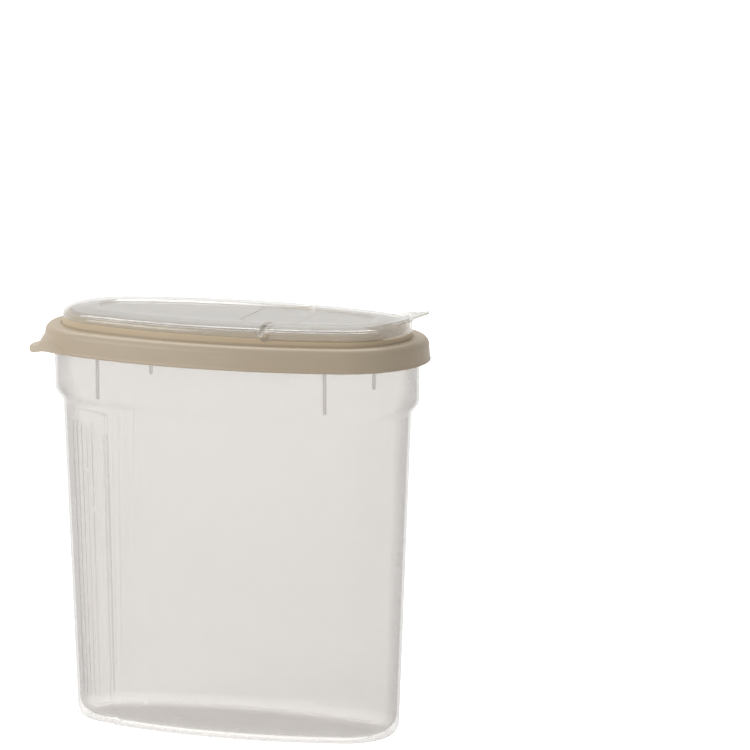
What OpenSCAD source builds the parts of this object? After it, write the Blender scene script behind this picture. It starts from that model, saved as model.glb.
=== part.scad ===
// Oval flip-top cereal container in four moulded pieces: container, lid ring, fixed cover, flip lid.
// Millimetres. +X points from the hand grip to the spout, +Z is up, and the base stands on z = 0.
// Every outline is one four-arc oval, offset in or out. Offset 0 is the outside of the lid's skirt.

/* [Oval] */
// Length of the lid ring over its skirt
oval_l = 190; // [170:1:230]
// Width of the lid ring over its skirt
oval_w = 95.5; // [90:0.5:110]

/* [Container] */
// Height of the rim above the base
rim_z = 191; // [150:1:260]
// Wall of the container
wall = 1.2; // [0.9:0.1:1.6]
// Height of the inside floor above the base
floor_z = 2.2; // [1.8:0.1:3]
// Rise of the underside's middle
push_up = 1; // [0.5:0.1:1.2]
// Set-back of the rim band behind the skirt
band_in = 4.9; // [4.6:0.1:6]
// Height of the rim band down to the step
band_h = 29.6; // [24:0.2:36]
// Height of the sloped step below the band
step_h = 5.4; // [4:0.2:8]
// Set-back of the body behind the band
step_in = 3.85; // [3:0.05:5]
// Lean of each wall from the step down to the base
draft_in = 6; // [4:0.2:8]
// Radius of the bottom edge
foot_r = 11; // [8:0.5:13]
// How far the bead round the rim stands out
bead_r = 1.2; // [0.8:0.1:1.4]
// Distance of the nesting ribs from the ends of the band
rib_in = 33; // [28:1:45]
// Depth of a nesting rib, in from the wall
rib_d = 2; // [1.5:0.1:2.6]
// Thickness of a nesting rib
rib_t = 1.2; // [0.8:0.1:1.6]
// Height of a nesting rib above the step
rib_h = 20; // [14:0.5:22]

/* [Grip] */
// Length of the grips from the rear end
grip_l = 32; // [28:1:38]
// Depth of the grip recess at its front edge
grip_d = 3; // [2:0.1:3.6]
// Height of the sloped roof over the recess
grip_roof = 5; // [4:0.2:7]
// Number of grip ridges on each side
ridges = 5; // [3:1:6]
// Angle of the first ridge from the rear
ridge_a = 57; // [50:1:62]
// Angle between ridges
ridge_step = 6; // [4.5:0.5:6]
// Radius of a ridge
ridge_r = 0.8; // [0.5:0.1:0.9]

/* [Lid ring] */
// Height of the skirt
skirt_h = 11.1; // [9:0.1:15]
// How far the skirt leans in towards its top
skirt_lean = 0.7; // [0.3:0.1:1]
// Wall of the lid ring
ring_wall = 1.6; // [1.3:0.1:1.8]
// Thickness of the shelf that rests on the rim
shelf_t = 1.5; // [1.2:0.1:2]
// Radius of the skirt's top edge
shoulder_r = 4.4; // [3:0.1:4.6]
// Set-back of the collar behind the skirt
collar_in = 8.6; // [8.2:0.1:9.4]
// Height of the collar above the shelf
collar_h = 4; // [3.6:0.1:5]
// Height of the inner lip that locates the covers
lip_h = 1.3; // [1:0.1:1.4]
// Depth of the plug inside the container's mouth
plug_h = 4; // [3:0.2:6]
// Gap between the plug and the container's wall
plug_gap = 0.4; // [0.3:0.05:0.6]
// Gap between the shelf's underside and the rim
seat_gap = 0.1; // [0.05:0.05:0.3]
// Width of the pour notch in the collar
notch_w = 32; // [28:1:36]
// Height of the pour notch's sill above the shelf
sill_h = 2.2; // [1.8:0.1:2.3]
// Reach of the pull tab beyond the skirt
pull_l = 9.9; // [8:0.1:12]
// Radius of the pull tab's tip
pull_r = 12; // [9:0.5:14]
// Thickness of the pull tab
pull_t = 2.4; // [1.8:0.1:2.8]
// Drop of the pull tab from its root to its tip
pull_drop = 5.2; // [4:0.2:6]

/* [Covers] */
// Height of the covers' edge crest above the shelf
crest_h = 7.8; // [7.4:0.1:9]
// Thickness of the clear covers
cover_t = 1.2; // [1:0.1:1.4]
// Width of the rounded edge
roll_w = 5.6; // [5.2:0.1:6.4]
// Width of the crowned border inside the edge
border_w = 16; // [14:0.5:17]
// Rise of the crowned border
crown_h = 0.7; // [0.4:0.1:1]
// Depth of the shallow dish inside the border
dish_d = 0.9; // [0.5:0.1:1.2]
// How far the flip lid's edge stands proud of the collar
proud = 0.25; // [0.1:0.05:0.4]
// Height of the flip lid's foot above the shelf
foot_h = 2.7; // [2.4:0.1:3.2]
// Length of the flip lid's tongue behind the hinge
tongue_l = 20.1; // [16:0.1:24]
// Half the width of the flip lid's tongue at the seam
tongue_w = 16; // [14:0.5:17]
// Half the width of the tongue at the hinge
tongue_root = 22.5; // [21:0.5:23]
// Radius of the tongue's corners
tongue_r = 4; // [2:0.5:5]
// Gap between the tongue and the fixed cover
slit = 0.7; // [0.6:0.05:1]

/* [Hinge] */
// Distance of the hinge from the spout end of the skirt
hinge_in = 66.6; // [63:0.2:70]
// Height of the hinge above the shelf
hinge_h = 4.3; // [4:0.05:4.6]
// Radius of a hinge pin
pin_r = 1; // [0.8:0.05:1.1]
// Clearance round a hinge pin
pin_gap = 0.05; // [0.03:0.01:0.08]
// Radius of the lug that carries a pin
lug_r = 2.3; // [2.1:0.05:2.3]
// Clearance round the moving lug
lug_gap = 0.3; // [0.2:0.05:0.4]
// Distance from the hinge back to the fixed cover's arms
arm_gap = 4.5; // [4.5:0.1:6]

/* [Thumb tab] */
// Reach of the thumb tab beyond the skirt
tab_out = 1.6; // [0.5:0.1:4]
// Length of the tab from its root to its tip
tab_l = 19.6; // [18:0.2:21]
// Radius of the tab's tip seen from above
tab_r = 8; // [6:0.5:10]
// Half the width of the hood that carries the tab
hood_w = 18; // [17:0.5:19]
// How far the nose wall stands out from the flip lid's edge
nose_out = 0.3; // [0.2:0.1:0.8]
// Rise of the tab above the crest
tab_rise = 6.2; // [5:0.2:8]
// Thickness of the tab's tip
tab_t = 1.3; // [1.2:0.1:1.8]

/* [Hidden] */
$fn = 96;
eps = 0.01;

// The four-arc oval: its end and side centres make a 7-24-25 triangle, so that the arcs meet exactly
centres = round((oval_l - oval_w)/0.06)/8;
end_x = 0.28*centres;
side_y = 0.96*centres;
end_r = oval_l/2 - end_x;
side_r = end_r + centres;
half_w = side_r - side_y;

// Lap of the arcs at their joints, enough to fuse them in a mesh
lap = 0.00002;

// Heights
step_z = rim_z - band_h - step_h;
shelf_z = rim_z + seat_gap + shelf_t;
skirt_z = shelf_z - skirt_h;
collar_z = shelf_z + collar_h;
lip_z = collar_z + lip_h;
crest_z = shelf_z + crest_h;
hinge_z = shelf_z + hinge_h;
sill_z = shelf_z + sill_h;
top_z = crest_z + tab_rise + 1;

// Offsets from the skirt's outline
o_band = -band_in;
o_body = o_band - step_in;
o_collar = -collar_in - 0.25;
o_lip = o_collar - ring_wall;
o_lip_in = o_lip - ring_wall;
o_cover = o_collar;
o_flip = o_collar + proud;
o_crest = o_cover - roll_w;
o_border = o_cover - border_w;
o_dish = o_border - 3;
o_core = o_dish - 1;
o_plug = o_band - wall - plug_gap;
o_rib = o_lip_in - 0.4;
snap_o = o_band + bead_r + 0.4;
plug_t = 1.2;

// Places along the length, from the ends of the oval
hinge_x = oval_l/2 - hinge_in;
seam_x = hinge_x - tongue_l;
grip_x = end_x + end_r + o_body - grip_l;
rib_x = end_x + end_r + o_band - rib_in;
tab_reach = end_r + tab_out;
foot_z = shelf_z + foot_h;
recess_o = o_flip - cover_t - 0.4;
cover_rib_t = 1.1;
rib_end = hinge_x + 5.6;

// Steps in a rounded profile, and round the end and side arcs
arc_n = 5;
end_fn = 72;
side_fn = 144;

function bend(c, r, a0, a1, n = arc_n) =
    [for (i = [0:n]) let (a = a0 + (a1 - a0)*i/n) [c[0] + r*cos(a), c[1] + r*sin(a)]];

// Half-width of the oval at x, for an offset
function half_at(x, o) =
    abs(x) > end_x + (end_r + o)*0.28
        ? sqrt(max(0, pow(end_r + o, 2) - pow(abs(x) - end_x, 2)))
        : sqrt(pow(side_r + o, 2) - x*x) - side_y;

// Wedges of the plan that the end arc and the side arc fill
module end_wedge() {
    linear_extrude(height = 2*rim_z)
        translate([end_x - lap, 0]) polygon([[0, 0], [21, -72], [150, -72], [150, 72], [21, 72]]);
}

module side_wedge() {
    linear_extrude(height = 2*rim_z)
        polygon([[-end_x + 3.5, -12], [end_x - 3.5, -12], [end_x + 21, 72], [-end_x - 21, 72]]);
}

// Sweeps a profile of [offset, height], drawn by the children, round the oval's four arcs
module ring() {
    for (s = [0, 180]) rotate([0, 0, s]) {
        intersection() {
            translate([end_x, 0, 0]) rotate_extrude($fn = end_fn) translate([end_r, 0]) children();
            end_wedge();
        }
        intersection() {
            translate([0, -side_y, 0]) rotate_extrude($fn = side_fn) translate([side_r, 0]) children();
            side_wedge();
        }
    }
}

// A solid oval whose edge follows pts, a list of [offset, height] from the bottom up
module block(pts) {
    z0 = pts[0][1];
    z1 = pts[len(pts) - 1][1];
    for (s = [0, 180]) rotate([0, 0, s]) {
        intersection() {
            translate([end_x, 0, 0]) rotate_extrude($fn = end_fn) translate([end_r, 0])
                polygon(concat([[2 - end_r, z0]], pts, [[2 - end_r, z1]]));
            end_wedge();
        }
        intersection() {
            translate([0, -side_y, 0]) rotate_extrude($fn = side_fn) translate([side_r, 0])
                polygon(concat([[-half_w - 20, z0]], pts, [[-half_w - 20, z1]]));
            side_wedge();
        }
    }
    translate([-end_x - 4, -6, z0]) cube([2*end_x + 8, 12, z1 - z0]);
}

// ---- container ----

// Offset of the drafted wall at a height
function wall_o(z) = o_body - draft_in*(step_z - z)/step_z;

// Smooth step from the body out to the band
function step_curve(dz) =
    [for (i = [0:arc_n]) let (t = i/arc_n)
        [o_body + step_in*(1 - cos(180*t))/2, step_z + dz + step_h*t]];

// Outside of the container, from the base to the rim
function outside_pts() = concat(
    bend([wall_o(foot_r) - foot_r, foot_r], foot_r, -90, 0),
    step_curve(0),
    [[o_band, rim_z - 3 - bead_r]],
    bend([o_band, rim_z - 3], bead_r, -60, 60),
    [[o_band, rim_z - 3 + bead_r], [o_band, rim_z - 0.5], [o_band - 0.4, rim_z]]);

// Inside of the container, one wall in from the outside
function inside_pts() = concat(
    [for (p = bend([wall_o(foot_r) - foot_r, floor_z + foot_r - wall], foot_r - wall, -90, 0)) p],
    [for (p = step_curve(wall/2)) [p[0] - wall, p[1]]],
    [[o_band - wall, rim_z + 1]]);

// Round core of the grip: it meets the body at the rear and lies grip_d deep at the front edge
grip_y = half_at(grip_x, o_body) - grip_d;
tip_x = end_x + end_r + o_body + 0.3;
grip_c = (tip_x*tip_x - grip_x*grip_x - grip_y*grip_y)/(2*(tip_x - grip_x));
grip_r = tip_x - grip_c;

// The space that the container's skin may fill once the grips are cut, d in from the outside
module grip_keep(pts, d) {
    roof_z = step_z - 0.7 - d/2;
    roof_in = grip_roof/tan(60);
    translate([d - grip_x, -half_w, -1]) cube([oval_l, oval_w, step_z + 2]);
    translate([-oval_l, -half_w, step_z + 0.4]) cube([2*oval_l, oval_w, band_h + step_h + 2]);
    translate([-grip_c, 0, 0]) rotate_extrude()
        polygon(concat([[0, pts[0][1] - 1]], [for (p = pts) if (p[1] < step_z) [grip_r + p[0] - o_body, p[1]]],
            [[grip_r - d, step_z + 0.9], [0, step_z + 0.9]]));
    block([[o_body - roof_in - d, roof_z - grip_roof], [o_body - d + 1, roof_z + 1.732]]);
}

module skin(pts, d) {
    intersection() {
        block(pts);
        grip_keep(pts, d);
    }
}

module grip_ridges() {
    lean = atan(draft_in/step_z);
    for (side = [-1, 1], i = [0:ridges - 1])
        translate([-grip_c, 0, 0]) rotate([0, 0, 180 + side*(ridge_a + ridge_step*i)])
            translate([grip_r + wall_o(foot_r) - o_body - 0.1, 0, foot_r]) rotate([0, lean, 0])
                cylinder(r = ridge_r, h = step_z - foot_r - grip_roof + 2, $fn = 24);
}

module nest_ribs() {
    for (sx = [-1, 1], sy = [-1, 1]) {
        y = half_at(rib_x, o_band - wall) + 0.3;
        translate([sx*rib_x - rib_t/2, sy > 0 ? y - rib_d : -y, step_z + step_h])
            cube([rib_t, rib_d, rib_h]);
    }
}

module container() {
    color([0.93, 0.93, 0.91, 0.5]) {
        difference() {
            skin(outside_pts(), 0);
            skin(inside_pts(), wall);
            block([[wall_o(0) - foot_r - 3, -1], [wall_o(0) - foot_r - 3, push_up]]);
        }
        grip_ridges();
        nest_ribs();
    }
}

// ---- lid ring ----

module ring_profile() {
    polygon(concat(
        [[0.3, skirt_z], [0.3, skirt_z + 0.7], [0, skirt_z + 1.4]],
        bend([-skirt_lean - shoulder_r, shelf_z - shoulder_r], shoulder_r, 0, 90),
        [[-collar_in, shelf_z], [o_collar, collar_z], [o_lip, collar_z], [o_lip, lip_z], [o_lip_in, lip_z],
            [o_lip_in, foot_z - ring_wall], [o_lip, foot_z - ring_wall], [o_lip, shelf_z - shelf_t],
            [o_plug - plug_t, shelf_z - shelf_t], [o_plug - plug_t, shelf_z - shelf_t - plug_h],
            [o_plug, shelf_z - shelf_t - plug_h], [o_plug, shelf_z - shelf_t]],
        bend([-ring_wall - skirt_lean/2 - 2.9, shelf_z - shelf_t - 2.9], 2.9, 90, 0),
        [[-ring_wall, skirt_z + 5.6], [snap_o, skirt_z + 4], [-ring_wall, skirt_z + 2.4],
            [-ring_wall, skirt_z]]));
}

// Flange that flares down and out from the skirt's lower edge, cut to a rounded tongue
module pull_tab() {
    tip = end_r + pull_l;
    tip_c = tip - pull_r;
    tangent_a = acos((end_r - pull_r)/tip_c);
    root = end_r - ring_wall/2;
    flare = [for (i = [0:10]) let (r = root + (tip + 1 - root)*i/10)
        [r, skirt_z - pull_drop*(1 - pow(max(0, tip - r)/pull_l, 2))]];
    intersection() {
        translate([-end_x, 0, skirt_z - pull_drop - 2]) linear_extrude(height = 2*pull_drop + pull_t + 6)
            union() {
                translate([-tip_c, 0]) circle(r = pull_r);
                polygon([for (q = [[end_r, 1], [pull_r, 1], [pull_r, -1], [end_r, -1]])
                    [(q[0] == pull_r ? -tip_c : 0) - q[0]*cos(tangent_a), q[1]*q[0]*sin(tangent_a)]]);
            }
        translate([-end_x, 0, 0]) rotate([0, 0, 100]) rotate_extrude(angle = 160)
            polygon(concat(flare, [for (i = [10:-1:0]) [flare[i][0], flare[i][1] + pull_t]]));
    }
}

// Across the hinge: the pin starts at pin_in, the collar's wall stops at wall_y, and the lug is outside it
pin_in = half_at(hinge_x, o_lip_in) + 0.3;
wall_y = half_at(hinge_x - lug_r - lug_gap, o_lip) + 0.05;
lug_y = wall_y + 0.15;
lug_out = half_at(hinge_x, o_flip);
boss_r = pin_r + 0.3;
swing_low = 0.8;

// Turns a child, drawn in the plane of the hinge's swing, to both sides of the lid
module at_hinges() {
    for (s = [0, 1]) mirror([0, s, 0])
        translate([hinge_x, 0, hinge_z]) rotate([90, 0, 0]) children();
}

module ring_pins() {
    at_hinges() {
        translate([0, 0, pin_in]) cylinder(r = boss_r, h = wall_y - pin_in);
        translate([0, 0, pin_in]) cylinder(r = pin_r, h = lug_out - 0.3 - pin_in);
    }
}

// Room for the lugs and for the flip lid's rear edge, and the pour notch
module ring_cuts() {
    at_hinges() {
        translate([0, 0, wall_y]) cylinder(r = lug_r + lug_gap, h = 8);
        translate([-arm_gap + 0.2, -swing_low, pin_in - 3]) cube([arm_gap - 0.2, 8, 16]);
    }
    intersection() {
        ring() translate([recess_o, foot_z - lug_gap]) square([3, lip_h + collar_h]);
        translate([hinge_x, -half_w, shelf_z]) cube([oval_l, oval_w, 2*crest_h]);
    }
    translate([end_x, 0, 0]) rotate([90, 0, 90]) linear_extrude(height = end_r)
        polygon([[-notch_w/2 + 1, sill_z], [notch_w/2 - 1, sill_z], [notch_w/2, sill_z + 1],
            [notch_w/2 + 1, lip_z + 1], [-notch_w/2 - 1, lip_z + 1], [-notch_w/2, sill_z + 1]]);
}

module lid_ring() {
    color([0.70, 0.64, 0.55]) {
        difference() {
            union() {
                ring() ring_profile();
                pull_tab();
            }
            ring_cuts();
        }
        ring_pins();
    }
}

// ---- clear covers ----

// Height at which the upright side of a cover starts to roll over
roll_z = collar_z + 0.5;

// Outside of the rounded edge, from its foot at o0 and z0 up to the crest
function edge_pts(o0, z0) = concat([[o0, z0], [o0, roll_z]],
    [for (i = [1:2*arc_n]) let (a = 45*i/arc_n)
        [o0 - (o0 - o_crest)*(1 - cos(a)), roll_z + (crest_z - roll_z)*sin(a)]]);

// Rounded edge, crowned border and dish, from the edge in to the core
module shell_profile(o0, z0) {
    w = o0 - o_crest;
    h = crest_z - roll_z;
    rim = crest_z + crown_h;
    n = 2*arc_n;
    polygon(concat(edge_pts(o0, z0),
        [[o_border + 4, rim - crown_h*0.15], [o_border, rim], [o_border - 1, rim - 0.1],
            [o_dish, rim - dish_d], [o_core, rim - dish_d], [o_core, rim - dish_d - cover_t],
            [o_dish, rim - dish_d - cover_t], [o_border, rim - cover_t - 0.2], [o_crest, crest_z - cover_t]],
        [for (i = [n - 1:-1:1]) let (a = 90*i/n)
            [o0 - cover_t - (w - cover_t)*(1 - cos(a)), roll_z + (h - cover_t)*sin(a)]],
        [[o0 - cover_t, roll_z], [o0 - cover_t, z0]]));
}

module shell(o0, z0) {
    ring() shell_profile(o0, z0);
    block([[o_core + 0.5, crest_z + crown_h - dish_d - cover_t], [o_core + 0.5, crest_z + crown_h - dish_d]]);
}

// Plan of the tongue, grown by g
function tongue_pts(g) =
    let (lean = atan((tongue_root - tongue_w)/(hinge_x - seam_x)), r = tongue_r + g,
        cx = seam_x - g + r, cy = tongue_w + g - r*cos(lean) + (cx - seam_x)*tan(lean) - g*(1 - cos(lean)))
    concat([for (p = bend([cx, -cy], r, 180 + 90 - lean, 180)) [p[0], p[1]]],
        [for (p = bend([cx, cy], r, 180, 90 + lean)) [p[0], p[1]]]);

plate_x = hinge_x - 0.3;
arm_x = hinge_x - arm_gap;

module flip_plan() {
    polygon(concat(tongue_pts(0), [[plate_x, tongue_root], [plate_x, half_w], [oval_l, half_w],
        [oval_l, -half_w], [plate_x, -half_w], [plate_x, -tongue_root]]));
}

module fixed_plan() {
    difference() {
        translate([-oval_l, -half_w]) square([oval_l + arm_x, oval_w]);
        polygon(concat(tongue_pts(slit), [[hinge_x, tongue_root + slit], [hinge_x, -tongue_root - slit]]));
    }
}

// End walls of the arms, and the ledges that close the gap behind the flip lid
module arm_ends() {
    y0 = tongue_root + slit + 0.3;
    y1 = half_at(rib_end, o_rib - cover_rib_t) - 0.4;
    ledge_z = hinge_z - swing_low - 1.3;
    for (s = [0, 1]) mirror([0, s, 0]) {
        intersection() {
            block(edge_pts(o_cover, collar_z));
            translate([arm_x - cover_t, y0, lip_z + 0.1]) cube([cover_t, half_w, crest_h]);
        }
        translate([arm_x - cover_t, y0, ledge_z]) cube([cover_t, y1 - y0, lip_z + 0.8 - ledge_z]);
        translate([arm_x - cover_t, y0, ledge_z]) cube([rib_end - 0.5 - arm_x + cover_t, y1 - y0, 1]);
    }
}

module fixed_cover() {
    color([0.85, 0.84, 0.82, 0.45]) {
        intersection() {
            union() {
                shell(o_cover, collar_z);
                ring() translate([o_lip_in - 0.2 - cover_rib_t, shelf_z + 2])
                    square([cover_rib_t, crest_h - 2 - cover_t/2]);
            }
            translate([0, 0, shelf_z]) linear_extrude(height = crest_h + 2) fixed_plan();
        }
        arm_ends();
    }
}

// Height of the thumb tab's top at radius r from the front end's centre
function tab_top(r) = let (t = (r - tab_reach + tab_l)/tab_l) crest_z + 0.1 + tab_rise*pow(t, 1.4);

nose_r = end_r + o_flip + nose_out;
tab_x = end_x + tab_reach - tab_r;
hood_x = end_x + nose_r*cos(asin(hood_w/nose_r));

// Solid hood: nose wall, flared lip and top, as [radius, height]
function hood_pts() =
    let (n = 8, r0 = tab_reach - tab_l, top = tab_top(tab_reach) - tab_t, foot = tab_top(nose_r) - tab_t - 1.2)
    concat([[r0, crest_z - cover_t], [r0, crest_z + 0.1]],
        [for (i = [1:n]) let (r = r0 + tab_l*i/n) [r, tab_top(r)]],
        [for (i = [0:n]) let (t = i/n) [tab_reach - (tab_reach - nose_r)*t, top - (top - foot)*pow(t, 1.3)]],
        [[nose_r, foot_z], [nose_r - cover_t, foot_z], [nose_r - cover_t, crest_z - cover_t]]);

function hood_cavity_pts() =
    let (n = 8, r0 = tab_reach - tab_l + 1, r1 = nose_r - cover_t)
    concat([[r0, sill_z - 1], [r0, crest_z - cover_t]],
        [for (i = [1:n]) let (r = r0 + (r1 - r0)*i/n) [r, tab_top(r) - cover_t]],
        [[r1, sill_z - 1]]);

// The part of a turned shape within the hood's plan, set in by d: straight sides, then tangents to the tip
module at_tab(pts, d) {
    corner = [hood_x - 0.4*d, hood_w - d];
    reach = norm([corner[0] - tab_x, corner[1]]);
    a = atan2(corner[1], corner[0] - tab_x) - acos((tab_r - d)/reach);
    t = [tab_x + (tab_r - d)*cos(a), (tab_r - d)*sin(a)];
    intersection() {
        translate([end_x, 0, 0]) rotate([0, 0, -60]) rotate_extrude(angle = 120) polygon(pts);
        translate([0, 0, shelf_z]) linear_extrude(height = top_z - shelf_z + 2) union() {
            translate([tab_x, 0]) circle(r = tab_r - d);
            polygon([[end_x, corner[1]], corner, t, [tab_x - tab_r/2, 0], [t[0], -t[1]],
                [corner[0], -corner[1]], [end_x, -corner[1]]]);
        }
    }
}

// Lugs that turn on the ring's pins, trimmed to the rounded edge
module lugs() {
    intersection() {
        at_hinges() translate([0, 0, lug_y]) linear_extrude(height = lug_out - lug_y) difference() {
            union() {
                circle(r = lug_r);
                square([lug_r + 1.5, lug_r + 1]);
            }
            translate([lug_r, -lug_r]) square([4, lug_r + foot_z - hinge_z]);
        }
        block(edge_pts(o_flip, shelf_z));
    }
}

// Plug under the flip lid, inside the lip: the oval's front part and a wall across behind it
module spout_plug() {
    low = shelf_z + 2.6;
    intersection() {
        ring() translate([o_rib - cover_rib_t, low]) square([cover_rib_t, crest_z - cover_t/2 - low]);
        translate([plate_x, -half_w, low - 1]) cube([oval_l, oval_w, 2*crest_h]);
    }
    y = half_at(rib_end, o_rib - cover_rib_t/2);
    translate([rib_end, -y, low]) cube([cover_rib_t, 2*y, crest_z - cover_t + 0.2 - low]);
}

// Bores for the pins, and room round their bosses
module flip_bores() {
    at_hinges() {
        translate([0, 0, pin_in - 0.4]) cylinder(r = boss_r + 0.2, h = lug_y - pin_in + 0.4);
        translate([0, 0, wall_y]) cylinder(r = pin_r + pin_gap, h = 6);
    }
}

module flip_lid() {
    color([0.88, 0.87, 0.85, 0.4]) difference() {
        union() {
            intersection() {
                shell(o_flip, foot_z);
                translate([0, 0, shelf_z]) linear_extrude(height = crest_h + 2) flip_plan();
            }
            at_tab(hood_pts(), 0);
            spout_plug();
            lugs();
        }
        at_tab(hood_cavity_pts(), cover_t);
        flip_bores();
    }
}

container();
lid_ring();
fixed_cover();
flip_lid();
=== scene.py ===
"""Dressed model of an oval cereal container with a clear flip spout.

Four moulded pieces stand for the four solids of the frame: the translucent container, the satin lid
ring, the clear fixed cover and the clear flip lid. Each is turned out of a few profile points that
are spun round the four arcs of one oval, then cut and finished. Sizes are in millimetres until a
vertex is made; +X points to the spout, +Z is up and the base stands on z = 0.
"""

from __future__ import annotations

import logging
import math
from contextlib import contextmanager
from dataclasses import dataclass
from enum import Enum
from typing import ClassVar, Iterator, NamedTuple, Sequence

import bmesh
import bpy
from mathutils import Matrix, Vector

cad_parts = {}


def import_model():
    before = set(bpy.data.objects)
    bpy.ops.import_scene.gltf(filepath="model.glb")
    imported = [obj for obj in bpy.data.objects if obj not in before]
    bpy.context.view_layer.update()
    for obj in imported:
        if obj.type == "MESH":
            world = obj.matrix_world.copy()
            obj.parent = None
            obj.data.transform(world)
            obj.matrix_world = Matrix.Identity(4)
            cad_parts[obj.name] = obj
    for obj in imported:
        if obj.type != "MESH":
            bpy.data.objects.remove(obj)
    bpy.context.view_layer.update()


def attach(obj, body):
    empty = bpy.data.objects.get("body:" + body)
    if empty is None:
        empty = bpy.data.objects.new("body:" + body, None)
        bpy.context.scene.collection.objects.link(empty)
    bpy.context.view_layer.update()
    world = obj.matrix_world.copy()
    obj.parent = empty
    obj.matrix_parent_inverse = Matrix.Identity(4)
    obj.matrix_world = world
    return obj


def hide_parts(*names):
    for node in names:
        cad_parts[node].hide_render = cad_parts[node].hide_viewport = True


LOG = logging.getLogger("cereal_container")
MM = 0.001

# Turn of an edge past which it is shaded sharp
SHARP = math.radians(38)

# Smallest turn of a line, in radians, that is rounded
STRAIGHT = 1e-4

# Heights below and above the covers, and a place past their front end, for tools that cut right through
CUT_LOW = 180.0
CUT_HIGH = 215.0
CUT_OUT = 120.0

Point = tuple[float, float]
Span = tuple[float, float]
Triple = tuple[float, float, float]


class Cut(Enum):
    """What a boolean does to the piece it works on."""

    REMOVE = "DIFFERENCE"
    KEEP = "INTERSECT"
    ADD = "UNION"


class Corner(NamedTuple):
    """A corner of a profile or outline, in millimetres, with the radius that rounds it."""

    u: float
    v: float
    r: float = 0.0


class Arc(NamedTuple):
    """One arc of a sweep: centre, radius at offset 0, two angles in degrees and number of steps."""

    centre: Point
    radius: float
    start: float
    end: float
    steps: int


# ---- the oval ----


@dataclass(frozen=True)
class Oval:
    """The four-arc oval that every outline of the container is an offset of.

    The centres make a 7-24-25 triangle, so the arcs meet at exactly 73.74 degrees.
    """

    length: float = 190.0
    width: float = 95.5
    run: ClassVar[float] = 7 / 25
    rise: ClassVar[float] = 24 / 25

    @property
    def centres(self) -> float:
        """Distance between an end centre and a side centre."""
        return round((self.length - self.width) / 0.06) / 8

    @property
    def end_x(self) -> float:
        """Place of an end arc's centre along the length."""
        return self.run * self.centres

    @property
    def side_y(self) -> float:
        """Distance of a side arc's centre from the middle."""
        return self.rise * self.centres

    @property
    def end_r(self) -> float:
        """Radius of an end arc."""
        return self.length / 2 - self.end_x

    @property
    def side_r(self) -> float:
        """Radius of a side arc."""
        return self.end_r + self.centres

    @property
    def half_w(self) -> float:
        """Half the width."""
        return self.width / 2

    @property
    def tip(self) -> float:
        """Place of the outline's end along the length."""
        return self.end_x + self.end_r

    @property
    def meet(self) -> float:
        """Angle at which an end arc meets a side arc, in degrees."""
        return math.degrees(math.atan2(self.rise, self.run))

    def half_at(self, x: float, o: float) -> float:
        """Half the width at a place along the length, for an offset.

        Args:
            x: place along the length.
            o: offset from the outline, outward positive.
        Returns:
            The half width, or 0 past the end.
        """
        if abs(x) > self.end_x + (self.end_r + o) * self.run:
            return math.sqrt(max(0.0, (self.end_r + o) ** 2 - (abs(x) - self.end_x) ** 2))
        return math.sqrt((self.side_r + o) ** 2 - x * x) - self.side_y

    def offset_of(self, x: float, y: float) -> float:
        """Offset of a plan point from the outline.

        Args:
            x: place along the length.
            y: place across the width.
        Returns:
            The offset, outward positive.
        """
        u, v = abs(x) - self.end_x, abs(y)
        if u > 0 and u * self.rise > v * self.run:
            return math.hypot(u, v) - self.end_r
        return math.hypot(x, v + self.side_y) - self.side_r

    def arcs(self, front: int, rear: int, side: int, dense: int = 0, dense_deg: float = 0.0) -> list[Arc]:
        """The whole outline as arcs, anticlockwise from the near joint of the front end.

        Args:
            front: steps of the spout end's arc.
            rear: steps of the grip end's arc.
            side: steps of each side arc.
            dense: steps of the stretch of each side arc next to the rear end.
            dense_deg: angle of that stretch.
        Returns:
            The arcs in order.
        """
        m, radius = self.meet, self.side_r
        near_c, far_c = (0, self.side_y), (0, -self.side_y)
        far = [Arc(far_c, radius, m, 180 - m - dense_deg, side)]
        near = [Arc(near_c, radius, 180 + m + dense_deg, 360 - m, side)]
        if dense:
            far.append(Arc(far_c, radius, 180 - m - dense_deg, 180 - m, dense))
            near.insert(0, Arc(near_c, radius, 180 + m, 180 + m + dense_deg, dense))
        front_arc = Arc((self.end_x, 0), self.end_r, -m, m, front)
        rear_arc = Arc((-self.end_x, 0), self.end_r, 180 - m, 180 + m, rear)
        return [front_arc, *far, rear_arc, *near]

    def front_arcs(self, x: float, o: float, front: int, side: int) -> list[Arc]:
        """The part of the outline in front of a place, anticlockwise.

        Args:
            x: place along the length at which the part starts and ends.
            o: offset for which the ends lie at x.
            front: steps of the spout end's arc.
            side: steps of each side's arc.
        Returns:
            The arcs in order.
        """
        lean = math.degrees(math.asin(x / (self.side_r + o)))
        m = self.meet
        return [
            Arc((0, self.side_y), self.side_r, 270 + lean, 360 - m, side),
            Arc((self.end_x, 0), self.end_r, -m, m, front),
            Arc((0, -self.side_y), self.side_r, m, 90 - lean, side),
        ]


OVAL = Oval()
LID_ARCS = OVAL.arcs(96, 96, 30)
RIB_ARCS = OVAL.arcs(72, 72, 20)
BODY_ARCS = OVAL.arcs(84, 232, 20, 44, 3.9)


# ---- lines ----


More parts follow.
